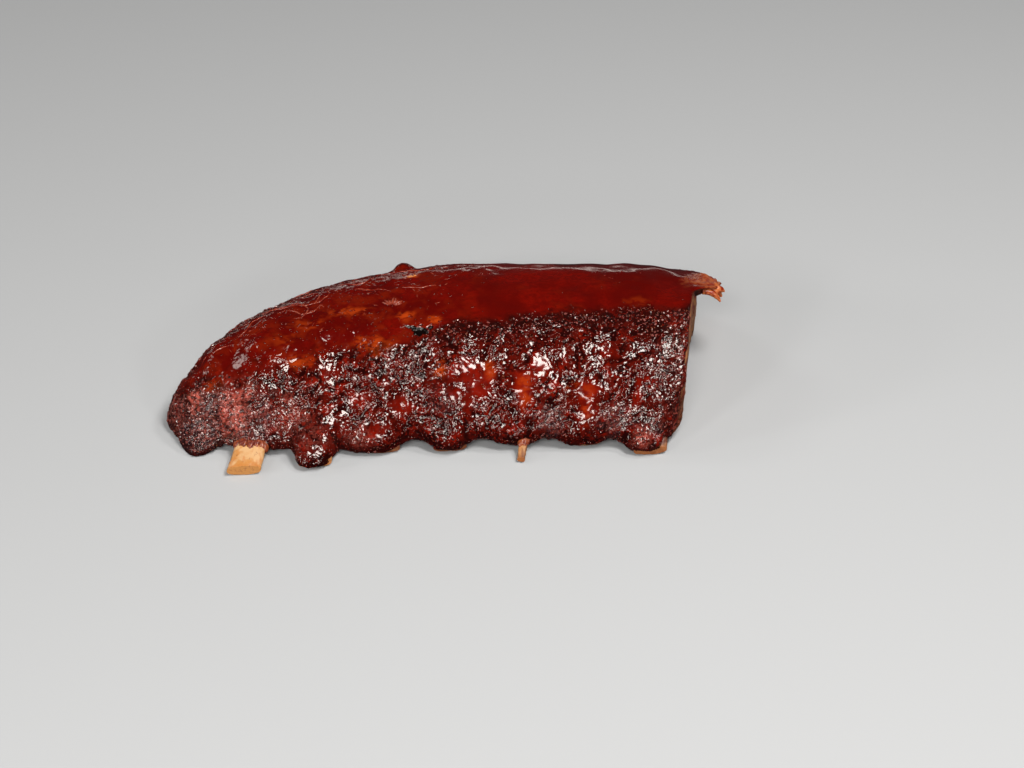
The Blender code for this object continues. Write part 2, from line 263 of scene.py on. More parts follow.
class Growth(Bench):
    """A geometry tree with named inputs, which makes a plain mesh from a host."""

    def __init__(self, name: str) -> None:
        """Start a tree that takes and gives geometry."""
        super().__init__(bpy.data.node_groups.new(name, "GeometryNodeTree"))
        for way in ("INPUT", "OUTPUT"):
            self.tree.interface.new_socket("Geometry", in_out=way, socket_type="NodeSocketGeometry")
        self.entry = self.node("NodeGroupInput")
        self.exit = self.node("NodeGroupOutput")
        self.identifiers: dict[str, str] = {}

    @property
    def geometry(self) -> Socket:
        """What the host brings."""
        return self.entry.outputs["Geometry"]

    def take(self, name: str, kind: str = "NodeSocketFloat") -> Socket:
        """A named input of the tree."""
        item = self.tree.interface.new_socket(name, in_out="INPUT", socket_type=kind)
        self.identifiers[name] = item.identifier
        return self.entry.outputs[name]

    def named(self, name: str, kind: str = "FLOAT") -> Socket:
        """An attribute of the host, by its name."""
        made = self.node("GeometryNodeInputNamedAttribute", data_type=kind)
        made.inputs["Name"].default_value = name
        return made.outputs["Attribute"]

    def worn(self, geometry: Socket, depth: object, size: object) -> Socket:
        """The geometry with its surface pushed in and out by noise.

        Args:
            geometry: What to wear.
            depth: How far from the deepest to the highest place, in metres.
            size: Width of one swell, in metres.

        Returns:
            The worn geometry.
        """
        noise_node = self.node("ShaderNodeTexNoise")
        self.feed(noise_node.inputs["Scale"], self.maths("DIVIDE", 1.0, size))
        self.feed(noise_node.inputs["Detail"], 3.0)
        push = self.vector_maths("SCALE", self.node("GeometryNodeInputNormal").outputs[0])
        swing = self.maths("SUBTRACT", noise_node.outputs[0], 0.5)
        self.feed(push.inputs["Scale"], self.maths("MULTIPLY", swing, depth))
        moved = self.node("GeometryNodeSetPosition")
        self.feed(moved.inputs["Geometry"], geometry)
        self.feed(moved.inputs["Offset"], push.outputs[0])
        return moved.outputs[0]

    def random(self, low: object, high: object, seed: Socket) -> Socket:
        """A random number between two, for each element."""
        made = self.node("FunctionNodeRandomValue", data_type="FLOAT")
        self.feed(made.inputs[2], low)
        self.feed(made.inputs[3], high)
        self.feed(made.inputs["Seed"], seed)
        return made.outputs[1]

    def sweep(self, curve: Socket, sides: Socket, thickness: Socket | None = None) -> Socket:
        """A round section swept along a curve and capped, with radius 1 or with this thickness."""
        profile = self.node("GeometryNodeCurvePrimitiveCircle")
        self.feed(profile.inputs["Resolution"], sides)
        self.feed(profile.inputs["Radius"], 1.0)
        swept = self.node("GeometryNodeCurveToMesh")
        self.feed(swept.inputs["Curve"], curve)
        self.feed(swept.inputs["Profile Curve"], profile.outputs[0])
        if thickness is not None:
            self.feed(swept.inputs["Scale"], thickness)
        self.feed(swept.inputs["Fill Caps"], True)
        return swept.outputs[0]

    def close(self, geometry: Socket, rounded: bool = True) -> None:
        """Realise what was made, shade it smooth if it is rounded, and give it its finish."""
        real = self.node("GeometryNodeRealizeInstances")
        smooth = self.node("GeometryNodeSetShadeSmooth")
        self.feed(smooth.inputs["Shade Smooth"], rounded)
        dress = self.node("GeometryNodeSetMaterial")
        self.feed(real.inputs[0], geometry)
        self.feed(smooth.inputs[0], real.outputs[0])
        self.feed(dress.inputs["Geometry"], smooth.outputs[0])
        self.feed(dress.inputs["Material"], self.take("Finish", "NodeSocketMaterial"))
        self.feed(self.exit.inputs[0], dress.outputs[0])

    def grow(self, host: bpy.types.Object, name: str, inputs: dict[str, object]) -> bpy.types.Object:
        """Run the tree on a host, which it uses up.

        Args:
            host: The object that the tree works on.
            name: Name of the piece.
            inputs: Values for the tree's named inputs.

        Returns:
            A plain mesh object.
        """
        modifier = host.modifiers.new(self.tree.name, "NODES")
        modifier.node_group = self.tree
        for label, value in inputs.items():
            modifier[self.identifiers[label]] = value
        evaluated = host.evaluated_get(bpy.context.evaluated_depsgraph_get())
        mesh = bpy.data.meshes.new_from_object(evaluated)
        host.modifiers.remove(modifier)
        bpy.data.objects.remove(host)
        mesh.name = name
        return add_object(name, mesh)


def add_object(name: str, mesh: bpy.types.Mesh) -> bpy.types.Object:
    """Put a mesh into the scene under a name of its own."""
    made = bpy.data.objects.new(name, mesh)
    bpy.context.scene.collection.objects.link(made)
    return made


def path_host(name: str, paths: list[Array], values: dict[str, list[Array]]) -> bpy.types.Object:
    """An object that holds paths as chains of edges, with values along them.

    Args:
        name: Its name.
        paths: The points of each path.
        values: For each attribute, its values along each path: numbers or vectors.

    Returns:
        The object.
    """
    mesh = bpy.data.meshes.new(name)
    starts = np.cumsum([0, *(len(path) for path in paths)])
    edges = [(i, i + 1) for a, b in zip(starts, starts[1:]) for i in range(a, b - 1)]
    mesh.from_pydata(np.vstack(paths).tolist(), edges, [])
    for label, along in values.items():
        flat = np.concatenate(along)
        kind, key = ("FLOAT_VECTOR", "vector") if flat.ndim == 2 else ("FLOAT", "value")
        mesh.attributes.new(label, kind, "POINT").data.foreach_set(key, flat.astype(np.float32).ravel())
    return add_object(name, mesh)


def place_piece(obj: bpy.types.Object, slot: Slot, *nodes: str) -> None:
    """Hand a finished piece to the frame, and report it.

    Args:
        obj: The piece.
        slot: The material slot meant for its finish; not used.
        nodes: The solids that it stands for.
    """
    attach(obj, ROOT_BODY)
    if nodes:
        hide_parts(*nodes)
    triangles = sum(len(face.vertices) - 2 for face in obj.data.polygons)
    log.info("%s: %d triangles%s", obj.name, triangles, f", for {', '.join(nodes)}" if nodes else "")


# --- shape of the rack -------------------------------------------------------------------------------


@dataclass(frozen=True)
class RackForm:
    """The rack's shape before its fine relief, by the rules of its solids.

    X is measured along the front edge, and "behind" from front_y towards the loin side.
    """

    taper_end_x: float = -106.3 * MM
    cut_end_x: float = 87.2 * MM
    front_y: float = -39 * MM
    width: float = 94 * MM
    taper_length: float = 112 * MM
    taper_curve: float = 1.8
    width_power: float = 0.52
    height_power: float = 0.28
    end_set_back: float = 14 * MM
    end_curl: float = 0.12
    nose_flattening: float = 0.3
    nose_flat_length: float = 16 * MM
    slant_at_taper: float = 2 * MM
    slant_at_cut: float = 11 * MM
    rib_slant: float = 13 * MM
    crest_fall_depth: float = 3.2 * MM
    crest_fall_length: float = 20 * MM
    corner_round: float = 4.6 * MM
    corner_depth: float = 11 * MM
    shred_behind: float = 62.5 * MM
    shred_half_width: float = 8.6 * MM
    shred_power: float = 3
    shred_reach: float = 9.8 * MM
    shred_length: float = 9 * MM
    shred_heights: Pair = (20 * MM, 30 * MM)
    shred_droop: float = 2.4 * MM
    shred_root: float = 3.4 * MM
    lobe_depth: float = 15 * MM
    lobe_top: float = 17 * MM
    rib_swell: float = 0.9 * MM
    rib_swell_width: float = 7 * MM
    nub: Pair = (-21.1 * MM, 75 * MM)
    nub_radius: float = 3.4 * MM
    nub_height: float = 3.0 * MM
    nub_power: float = 3
    line_rounds: int = 5
    # The full-size cross-section, in parts: distance behind the front edge and height, in millimetres
    top_side: tuple[Pair, ...] = (
        (0, 8), (2.5, 15), (8.5, 24), (19, 33), (32, 38.6),
        (48, 41), (63, 39.8), (76, 35), (87, 26), (93.5, 13.5),
    )
    loin_foot: tuple[Pair, ...] = ((94, 4), (90, 0), (81, 0))
    under_side: tuple[Pair, ...] = ((74, 3), (62, 11), (45, 15.5), (27, 13), (13.5, 7.6))
    front_lip: tuple[Pair, ...] = ((6, 4.2), (1.6, 3.8))
    # Place along the edge, reach, half width and droop of each lobe of meat, in millimetres
    lobes: tuple[tuple[float, float, float, float], ...] = (
        (-94.0, 4.5, 7.0, 2.6), (-67.6, 5.4, 12.5, 0.4), (-49.0, 15.0, 7.5, 2.0), (-29.1, 6.0, 12.0, 2.2),
        (-0.1, 4.6, 7.5, 2.2), (25.2, 1.8, 8.0, 1.6), (49.9, 1.8, 8.0, 1.8), (74.2, 5.2, 8.5, 2.2),
    )
    # Place along the edge of each rib, and how far its tip reaches in front of it, in millimetres
    ribs: tuple[Pair, ...] = (
        (-72.8, 16.5), (-47.6, 11.5), (-23.9, 2.8), (1.1, 1.6), (26.4, 8.4), (51.0, -1.6), (76.3, 3.6),
    )

    def taper(self, x: Array) -> Array:
        """0 at the rounded end, rising to 1 where the rack has its full size."""
        return 1 - (1 - np.clip((x - self.taper_end_x) / self.taper_length, 0, 1)) ** self.taper_curve

    def width_share(self, x: Array) -> Array:
        """The rack's width here, as a share of its full width."""
        return self.taper(x) ** self.width_power

    def height_share(self, x: Array) -> Array:
        """The rack's height here, as a share of its full height."""
        nose = 1 - smoothstep(0, self.nose_flat_length, x - self.taper_end_x)
        return self.taper(x) ** self.height_power * (1 - self.nose_flattening * nose)

    def front_at(self, x: Array) -> Array:
        """Y of the front edge, which curls back at the rounded end."""
        near_end = np.maximum(0, 1 - (x - self.taper_end_x) / (self.end_curl * self.taper_length))
        return self.front_y + self.end_set_back * near_end**2

    def slant(self, x: Array) -> Array:
        """How far the loin side is shifted along the rack, for a full-width rib that starts at x."""
        share = (x - self.taper_end_x) / (self.cut_end_x - self.taper_end_x)
        return self.slant_at_taper + (self.slant_at_cut - self.slant_at_taper) * share**2

    def placed(self, x: Array, behind: Array, height: Array) -> Array:
        """The world points of section points at stations x."""
        slanted = x + self.slant(x) * behind / self.width
        return np.stack(np.broadcast_arrays(slanted, self.front_at(x) + behind, height), axis=-1)

    def lobed(self, x: Array, behind: Array, height: Array) -> tuple[Array, Array]:
        """Section points pulled forward and down into the lobes over the tips of the ribs."""
        reach = droop = 0.0
        for place, lobe_reach, half_width, lobe_droop in self.lobes:
            near = bump(x - place * MM, half_width * MM, 4)
            reach = reach + lobe_reach * MM * near
            droop = droop + lobe_droop * MM * near
        edge = (1 - smoothstep(0, self.lobe_depth, behind)) * (1 - smoothstep(3 * MM, self.lobe_top, height))
        edge = edge * smoothstep(0, 9 * MM, x - self.taper_end_x)
        return behind - reach * edge, height - droop * edge

    def crest_fall(self, x: Array, behind: Array) -> Array:
        """How far the top has sunk towards the cut end."""
        along = smoothstep(self.cut_end_x - self.crest_fall_length, self.cut_end_x, x)
        return self.crest_fall_depth * along * smoothstep(30 * MM, 66 * MM, behind)

    def shred_pull(self, x: Array, behind: Array, height: Array) -> Array:
        """How far the torn shred draws the top edge of the cut out along the rack."""
        along = smoothstep(self.cut_end_x - self.shred_length, self.cut_end_x, x)
        across = bump(behind - self.shred_behind, self.shred_half_width, self.shred_power)
        return self.shred_reach * along * across * smoothstep(*self.shred_heights, height)

    def corner_pull(self, x: Array, behind: Array) -> Array:
        """How far the front corner of the cut end is rounded off."""
        along = smoothstep(self.cut_end_x - self.shred_length, self.cut_end_x, x)
        return self.corner_round * along * (1 - smoothstep(0, self.corner_depth, behind))

    def section(self, x: Array, outline: Array, step_in: Array) -> tuple[Array, Array]:
        """Section points at stations.

        Args:
            x: The stations, one a row.
            outline: The full-size cross-section.
            step_in: How far each station's outline is set in, one a row.

        Returns:
            How far the points are behind the front edge, and their heights.
        """
        turn = np.roll(outline, -1, 0) - np.roll(outline, 1, 0)
        outward = unit(np.stack([-turn[:, 1], turn[:, 0]], axis=-1))
        behind, height = outline[:, 0] * self.width_share(x), outline[:, 1] * self.height_share(x)
        behind, height = self.lobed(x, behind, height)
        height = height - self.crest_fall(x, behind) * np.minimum(1.0, height / (25 * MM))
        return behind - outward[:, 0] * step_in, height - outward[:, 1] * step_in

    def rib_line(self, place: float, behind: float, height: float) -> Array:
        """The world point on a rib's line for a point of the full-size section, in millimetres."""
        rib_x = x = place * MM
        for _ in range(self.line_rounds):
            here = behind * MM * self.width_share(x)
            x = rib_x + (self.rib_slant - self.slant(x)) * here / self.width
        return self.placed(x, here, height * MM * self.height_share(x))


@dataclass
class Relief:
    """The bark's humps, knobs, lumps and grains, as heights over the plain form."""

    form: RackForm
    # Height and width of the swells of each kind
    hump: Pair = (1.5 * MM, 13 * MM)
    knob: Pair = (1.0 * MM, 6.5 * MM)
    knob_shift: Triple = (7, 3, 5)
    lump: Pair = (0.34 * MM, 3.6 * MM)
    fold: Pair = (0.17 * MM, 8.0 * MM)
    crumb: Pair = (0.32 * MM, 2.1 * MM)
    grain: Pair = (0.11 * MM, 1.15 * MM)
    swell: Pair = (0.32 * MM, 17 * MM)
    stir: Pair = (0.32 * MM, 4.5 * MM)
    bend: Pair = (1.2 * MM, 3.5 * MM)
    torn: Pair = (0.9 * MM, 1.7 * MM)
    pit_depth: float = 1.1 * MM
    fold_turns: float = 13.0
    under_share: float = 0.35
    under_calm: float = 6 * MM
    pooled_share: float = 0.3
    pool_from: float = 21 * MM
    pool_full: float = 29 * MM
    nose_calm: float = 6 * MM
    front_face: Pair = (18 * MM, 40 * MM)
    bend_shifts: Triple = (1.1, 4.2, 7.6)
    ripple: Pair = (2.2, 3 * MM)
    patch_size: float = 9 * MM
    stir_fold: float = 0.14 * MM
    stir_fine: Pair = (0.17 * MM, 1.7 * MM)

    def coarse(self, points: Array, normals: Array, x: Array, behind: Array) -> Array:
        """The relief that the solids have too, in metres along the normals."""
        form = self.form
        depth, size = self.hump
        humps = depth * noise_at(points, size)
        depth, size = self.knob
        knobs = depth * noise_at(points, size, self.knob_shift)
        up = normals[..., 2]
        pooled = smoothstep(self.pool_from, self.pool_full, behind) * smoothstep(-0.2, 0.3, up)
        share = 1 - (1 - self.pooled_share) * pooled
        under = self.under_share * smoothstep(0.5 * MM, self.under_calm, points[..., 2])
        share = np.where(up < -0.3, under, share)
        height = (humps + knobs) * share
        upper = smoothstep(0, 0.3, up)
        front_face = upper * (1 - smoothstep(*self.front_face, behind))
        for place, _ in form.ribs:
            height = height + form.rib_swell * front_face * bump(x - place * MM, form.rib_swell_width)
        nub_x, nub_behind = form.nub
        from_nub = np.hypot(x - nub_x, behind - nub_behind)
        nub = form.nub_height * bump(from_nub, form.nub_radius, form.nub_power)
        height = height + nub * upper
        return height * smoothstep(0, self.nose_calm, x - form.taper_end_x)

    def fine(self, points: Array, zones: "Zones") -> tuple[Array, Array]:
        """The relief that only the dressed rack has.

        Args:
            points: World points of the skin.
            zones: Where the sauce has pooled, and so on.

        Returns:
            Heights along the normals, in metres, and how crumbled the skin is, 0 deep between lumps to 1 on a
            lump; the finish paints shade where it is low.
        """
        depth, size = self.bend
        shifts = [(k, 2.3 * k, 5) for k in self.bend_shifts]
        bent = points + depth * np.stack([noise_at(points, size, shift) for shift in shifts], -1)
        lump = noise_at(bent, self.lump[1], (3.1, 8.2, 1.7))
        swirl = self.fold_turns * noise_at(points, self.fold[1], (9.2, 1.6, 4.3))
        fold = np.sin(swirl + self.ripple[0] * noise_at(points, self.ripple[1]))
        crumb = lumps_at(bent, self.crumb[1], (5.3, 0.4, 9.6))
        grain = lumps_at(points, self.grain[1], (2.2, 6.5, 4.4))
        patch = smoothstep(-0.25, 0.25, noise_at(points, self.patch_size, (1.3, 4.7, 8.8)))

        wet, crust, sleek, glint = 1 - zones.crust, zones.crust, zones.sleek, zones.glint
        fineness = (1 - 0.85 * sleek) * (1 - 0.5 * glint * wet)
        lumps = self.lump[0] * lump * (1 + 0.7 * crust) * (1 - 0.4 * sleek)
        folds = self.fold[0] * fold * wet * (0.7 * patch + 1.3 * glint) * (1 - 0.8 * sleek)
        crumbs = self.crumb[0] * crumb * (1 - 0.75 * patch * wet + 1.1 * crust) * fineness
        grains = self.grain[0] * grain * (0.5 - 0.35 * patch * wet + 1.6 * crust) * fineness
        height = (1 - zones.pool) * (1 + 0.4 * zones.lip) * (lumps + folds + crumbs + grains)

        pooled = self.swell[0] * noise_at(points, self.swell[1], (6.1, 2.9, 3.3))
        stirred = self.stir[0] * noise_at(bent, self.stir[1], (2.5, 7.7, 1.1)) + self.stir_fold * fold * patch
        stirred = stirred + self.stir_fine[0] * noise_at(bent, self.stir_fine[1], (0.5, 3.7, 9.1))
        height = height + zones.pool * (pooled + zones.stirred * stirred) - self.pit_depth * zones.pit
        height = height + self.torn[0] * zones.torn * noise_at(points, self.torn[1], (4.4, 2.2, 8.1))
        knob = self.knob[0] * noise_at(points, self.knob[1], self.knob_shift)
        height = height - 0.65 * sleek * (1 - zones.pool) * knob
        height = height * (1 - 0.7 * zones.under) * zones.calm
        return height, np.clip(0.5 + 0.45 * lump + 0.35 * crumb + 0.2 * fold * patch + 0.1 * grain, 0, 1)


@dataclass
class Zones:
    """Where the skin looks different, 0 to 1 at each point of it."""

    pool: Array
    stirred: Array
    char: Array
    crust: Array
    fat: Array
    pink: Array
    soot_and_shadow: Array
    pit: Array
    torn: Array
    under: Array
    lip: Array
    calm: Array
    patch: Array
    sleek: Array
    glint: Array
    aloft: Array

    def bead_cover(self) -> Array:
        """How thickly beads of sauce stand on the skin."""
        wet = (1 - self.pool) * (1 - self.crust)
        wet = wet * (0.2 + 0.6 * self.patch + 0.8 * self.glint) * (1 - 0.95 * self.sleek)
        return (wet + 0.16 * self.pool * self.stirred) * (1 - self.under) * (1 - self.pit) * self.aloft

    def crumb_cover(self) -> Array:
        """How thickly crumbs of char lie on the skin."""
        dry = 0.6 * self.crust * (1 - 0.6 * self.char) + 0.20 * self.soot_and_shadow + 0.03
        bare = (1 - self.pool) ** 2 * (1 - 0.85 * self.pink) * (1 - 0.9 * self.sleek)
        return np.clip(dry, 0, 1) * bare * (1 - self.under) * self.aloft

    def fleck_cover(self) -> Array:
        """How thickly flecks of spice lie on the skin."""
        cover = (0.5 + 0.5 * self.crust) * (1 - self.pool) ** 2 * (1 - self.under)
        return cover * (1 - 0.8 * self.sleek) * self.aloft


@dataclass
class ZoneMap:
    """Draws the zones on the skin."""

    form: RackForm
    # The edge of the pooled sauce: place along the rack and distance behind the front edge, in millimetres
    pool_edge: tuple[Pair, ...] = (
        (-106, 12), (-92, 13), (-80, 13), (-65, 14.5), (-52, 17), (-37, 20), (-19, 21.5),
        (-10, 23.5), (-4, 27.5), (10, 31.4), (24, 33.3), (40, 34.6), (61, 36), (76, 37.8),
        (87, 39),
    )
    # Where fat shines through
    fat_spots: Spots = (
        (-39.0, 36.2, 8.0, 3.0, 0.62), (-17.1, 33.0, 4.0, 2.6, 0.75), (-6.2, 31.4, 3.4, 1.9, 0.8),
        (-30.0, 20.2, 9.0, 3.2, 0.6), (-54.0, 31.0, 7.0, 3.0, 0.35), (-56.0, 15.0, 5.0, 2.6, 0.6),
        (-62.0, 24.0, 6.0, 3.0, 0.25), (-88.0, 9.0, 4.0, 2.2, 0.5), (-3.5, 12.8, 2.4, 2.4, 0.75),
        (14.9, 12.9, 2.4, 2.4, 0.5), (28.5, 7.4, 2.6, 3.6, 0.45), (46.1, 7.0, 2.4, 1.8, 0.45),
        (51.7, 4.6, 2.6, 3.0, 0.45), (68.5, 40.0, 5.0, 2.5, 0.2), (-17.2, 60.2, 2.7, 2.8, 1.0),
    )
    pink_spots: Spots = (
        (-79.0, 3.5, 7.0, 6.0, 0.9), (-95.0, 5.6, 3.6, 3.6, 1.0), (-60.0, 2.0, 10.0, 6.0, 0.5),
        (-104.0, 0.0, 5.0, 8.0, 0.45), (-50.0, -6.0, 7.0, 6.0, 0.25), (-33.0, -3.0, 7.0, 4.0, 0.3),
        (73.0, -3.5, 4.0, 2.5, 0.7),
    )
    char_spots: Spots = (
        (-88.6, 2.2, 3.2, 7.5, 1.0), (-97.0, -1.6, 5.0, 4.4, 1.0), (-103.0, 5.0, 4.0, 6.0, 0.25),
        (-68.5, 0.5, 3.2, 7.0, 0.6), (-75.0, -3.5, 8.0, 2.2, 0.45), (63.0, 1.0, 6.0, 2.6, 0.7),
        (77.0, -0.8, 5.0, 2.4, 0.6), (-2.7, 4.0, 4.5, 3.0, 0.3), (39.0, 1.6, 5.0, 2.6, 0.6),
    )
    # Where the sauce lies smooth and red over the bark
    sleek_spots: Spots = (
        (8.5, 9.0, 8.0, 5.6, 1.0), (28.4, 7.8, 4.6, 4.8, 1.0), (-17.1, 22.4, 5.0, 2.6, 0.8),
        (-17.1, 2.9, 4.0, 2.6, 0.8), (51.5, 5.0, 6.0, 4.0, 1.0), (34.0, 13.5, 4.5, 3.2, 0.7),
        (-83.0, 12.8, 6.0, 4.0, 0.5), (-68.0, 14.0, 8.0, 3.0, 0.4), (-33.0, 5.4, 4.5, 2.6, 0.6),
        (-44.0, 12.0, 5.0, 2.6, 0.5), (82.6, 6.0, 2.8, 5.0, 0.5), (-79.0, 7.2, 4.0, 1.6, 0.7),
        (58.0, 17.0, 4.0, 3.0, 0.6), (-26.0, -1.0, 5.0, 2.4, 0.7), (70.6, 7.0, 1.8, 3.4, 0.8),
        (-6.0, 19.5, 3.0, 2.0, 0.5),
    )
    # Where it stands in bright folds over the bark
    glint_spots: Spots = (
        (0.5, 14.7, 2.6, 3.6, 1.0), (-5.9, 15.2, 2.4, 2.4, 0.9), (-8.3, 1.3, 5.0, 3.0, 1.0),
        (-5.9, 6.0, 4.0, 2.6, 0.9), (-14.0, 1.8, 2.0, 2.0, 0.8), (18.1, 7.3, 3.4, 3.0, 1.0),
        (19.7, 3.6, 4.0, 2.2, 1.0), (10.9, 18.0, 2.5, 2.0, 0.7), (17.3, 16.0, 2.0, 3.0, 0.9),
        (26.1, 18.0, 4.0, 3.0, 1.0), (23.7, 22.5, 2.4, 2.0, 0.8), (38.9, 17.6, 3.0, 3.0, 0.9),
        (18.9, -0.8, 3.0, 2.0, 0.9), (25.3, 1.8, 2.4, 2.0, 0.8), (46.0, 24.6, 4.0, 2.4, 0.9),
        (43.7, 14.3, 3.0, 3.0, 0.9), (49.6, 10.4, 4.0, 2.0, 1.0), (43.0, 3.0, 3.0, 2.6, 0.9),
        (65.6, 8.0, 3.4, 3.4, 1.0), (-36.5, 11.0, 4.0, 2.4, 0.8), (-30.7, 8.3, 3.0, 2.4, 0.8),
        (-26.7, 11.8, 3.0, 2.0, 0.8), (-53.1, 6.6, 4.0, 2.6, 0.8), (-50.0, -9.0, 2.6, 2.0, 0.5),
        (-38.0, 0.7, 4.0, 2.8, 0.8), (-19.5, 8.2, 3.0, 2.4, 0.8), (-73.9, 10.4, 4.0, 1.0, 1.0),
        (-75.5, 6.0, 2.6, 1.4, 1.0), (-79.5, -0.4, 2.4, 1.4, 0.9), (35.0, 22.0, 5.0, 2.4, 0.7),
        (57.0, 22.0, 5.0, 2.6, 0.5),
    )
    # Where it is nearly black: at the cut end painted shadow over char, and small dark marks elsewhere
    shadow_and_dark_spots: Spots = (
        (80.0, 17.0, 6.0, 10.0, 1.0), (83.0, 7.0, 3.6, 7.0, 0.9), (74.0, 26.0, 6.0, 5.0, 0.9),
        (-92.0, 14.0, 3.0, 3.0, 0.7), (-66.0, 6.0, 3.0, 2.0, 0.5), (-2.0, 9.5, 2.0, 1.4, 0.6),
        (12.0, 3.4, 3.0, 1.2, 0.7),
    )
    pit: tuple[float, float, float, float, float] = (-11.3, 26.0, 3.1, 2.3, 1.0)
    spot_edge: Pair = (0.25, 1.35)
    pit_edge: Pair = (0.7, 1.0)

    @staticmethod
    def away_from(spot: tuple[float, ...], x: Array, behind: Array) -> Array:
        """How far points are from the middle of a spot, 1 being its edge."""
        place, back, length, depth = spot[:4]
        return np.hypot((x - place * MM) / (length * MM), (behind - back * MM) / (depth * MM))

    def spots(self, x: Array, behind: Array, wobble: Array, spots: Spots) -> Array:
        """Soft spots with ragged edges, 0 to 1."""
        made = np.zeros(np.broadcast(x, behind).shape)
        for spot in spots:
            away = self.away_from(spot, x, behind) + 0.65 * wobble
            made = np.maximum(made, spot[4] * (1 - smoothstep(*self.spot_edge, away)))
        return made

    def draw(
        self, points: Array, normals: Array, x: Array, behind: Array, under: Array, pull: Array
    ) -> Zones:
        """The zones at these points.

        Args:
            points: World points of the skin.
            normals: Its outward normals.
            x: The points' places along the rack.
            behind: Their distances behind the front edge.
            under: 1 on the hollow underside.
            pull: How far the torn shred draws each point out.

        Returns:
            The zones.
        """
        wobble = noise_at(points, 5 * MM, (4.1, 1.2, 7.9)) + 0.5 * noise_at(points, 2.2 * MM, (8.4, 5.1, 0.7))
        broad = noise_at(points, 14 * MM, (0.8, 9.3, 2.4))
        edge_x, edge_behind = np.array(self.pool_edge).T * MM
        edge = np.interp(x, edge_x, edge_behind) + 3.2 * MM * broad + 2.4 * MM * wobble
        pool = smoothstep(-3.6 * MM, 3.0 * MM, behind - edge) * smoothstep(-0.75, -0.1, normals[..., 2])
        back = smoothstep(68 * MM, 82 * MM, behind + 4 * MM * broad + 3 * MM * wobble)
        tipped = smoothstep(0.1, 0.4, -normals[..., 2] + 0.9 * normals[..., 1])
        pool = pool * (1 - under) * (1 - 0.9 * back * tipped)
        left = 1 - smoothstep(-30 * MM, 25 * MM, x)
        stirred = np.clip(left + 0.35 * smoothstep(0.1, 0.4, broad), 0, 1)
        soot_and_shadow = smoothstep(-13 * MM, -4 * MM, behind - edge) * (1 - pool)
        soot_and_shadow = soot_and_shadow * smoothstep(-45 * MM, 0, x) * (1 - 0.6 * back)
        ragged = 0.8 * wobble + 1.2 * noise_at(points, 1.3 * MM, (3, 9, 2))
        pit = 1 - smoothstep(*self.pit_edge, self.away_from(self.pit, x, behind) + ragged)
        # Behind the rounded end the sauce has dried to grains
        dried = 1 - smoothstep(-72 * MM, -38 * MM, x + 5 * MM * broad)
        dried = dried * smoothstep(0.12, 0.44, normals[..., 1] - 0.3 * normals[..., 0] + 0.12 * wobble)
        grained = smoothstep(-0.25, 0.25, noise_at(points, 6 * MM, (2.2, 6.1, 4.4)))
        grained = grained * (1 - smoothstep(-80 * MM, -20 * MM, x))
        pool = pool * (1 - 0.8 * dried) * (1 - 0.28 * grained)
        top = 1 - under
        char = self.spots(x, behind, wobble, self.char_spots) * top
        left_end = 1 - smoothstep(-84 * MM, -64 * MM, x + 5 * MM * broad)
        left_end = left_end * (1 - 0.85 * smoothstep(5 * MM, 11 * MM, behind + 3 * MM * wobble))
        right_end = 0.3 * smoothstep(70 * MM, 84 * MM, x + 5 * MM * broad + 3 * MM * wobble)
        crust = np.maximum.reduce([left_end, right_end, char, 0.75 * dried]) * (1 - pool)
        # The low front lip, where the finish paints shade in the near-black crease colour
        lip = 1 - smoothstep(2 * MM, 11 * MM, points[..., 2] + 2 * MM * wobble)
        lip = lip * (1 - smoothstep(0.1, 0.5, normals[..., 2]))
        lip = np.maximum(lip, 0.6 * (1 - smoothstep(1 * MM, 8 * MM, points[..., 2]))) * (behind < 30 * MM)
        nub_x, nub_behind = self.form.nub
        nub = bump(np.hypot(x - nub_x, behind - nub_behind), 1.2 * self.form.nub_radius)
        sleek = self.spots(x, behind, wobble, self.sleek_spots)
        # The near-black spots, painted shadow at the cut end, join the soot band
        soot_and_shadow = np.maximum(soot_and_shadow, self.spots(x, behind, wobble, self.shadow_and_dark_spots))
        calm = smoothstep(0, 3 * MM, x - self.form.taper_end_x)
        return Zones(
            pool=pool * (1 - 0.7 * nub),
            stirred=stirred,
            char=char,
            crust=crust * top,
            fat=self.spots(x, behind, wobble, self.fat_spots) * smoothstep(0, 0.2, normals[..., 2]),
            pink=self.spots(x, behind, wobble, self.pink_spots) * top,
            soot_and_shadow=soot_and_shadow * top,
            pit=pit,
            torn=smoothstep(2 * MM, 8 * MM, pull + 2.5 * MM * wobble) * (pull > 0.3 * MM),
            under=under,
            lip=lip * top,
            calm=calm * smoothstep(0.2 * MM, 2.5 * MM, points[..., 2]),
            patch=smoothstep(-0.3, 0.3, noise_at(points, 6 * MM, (7.3, 3.1, 0.6))),
            sleek=sleek * top,
            glint=self.spots(x, behind, wobble, self.glint_spots) * (1 - sleek) * top,
            aloft=smoothstep(0.7 * MM, 2.5 * MM, points[..., 2]),
        )


# --- finishes ----------------------------------------------------------------------------------------


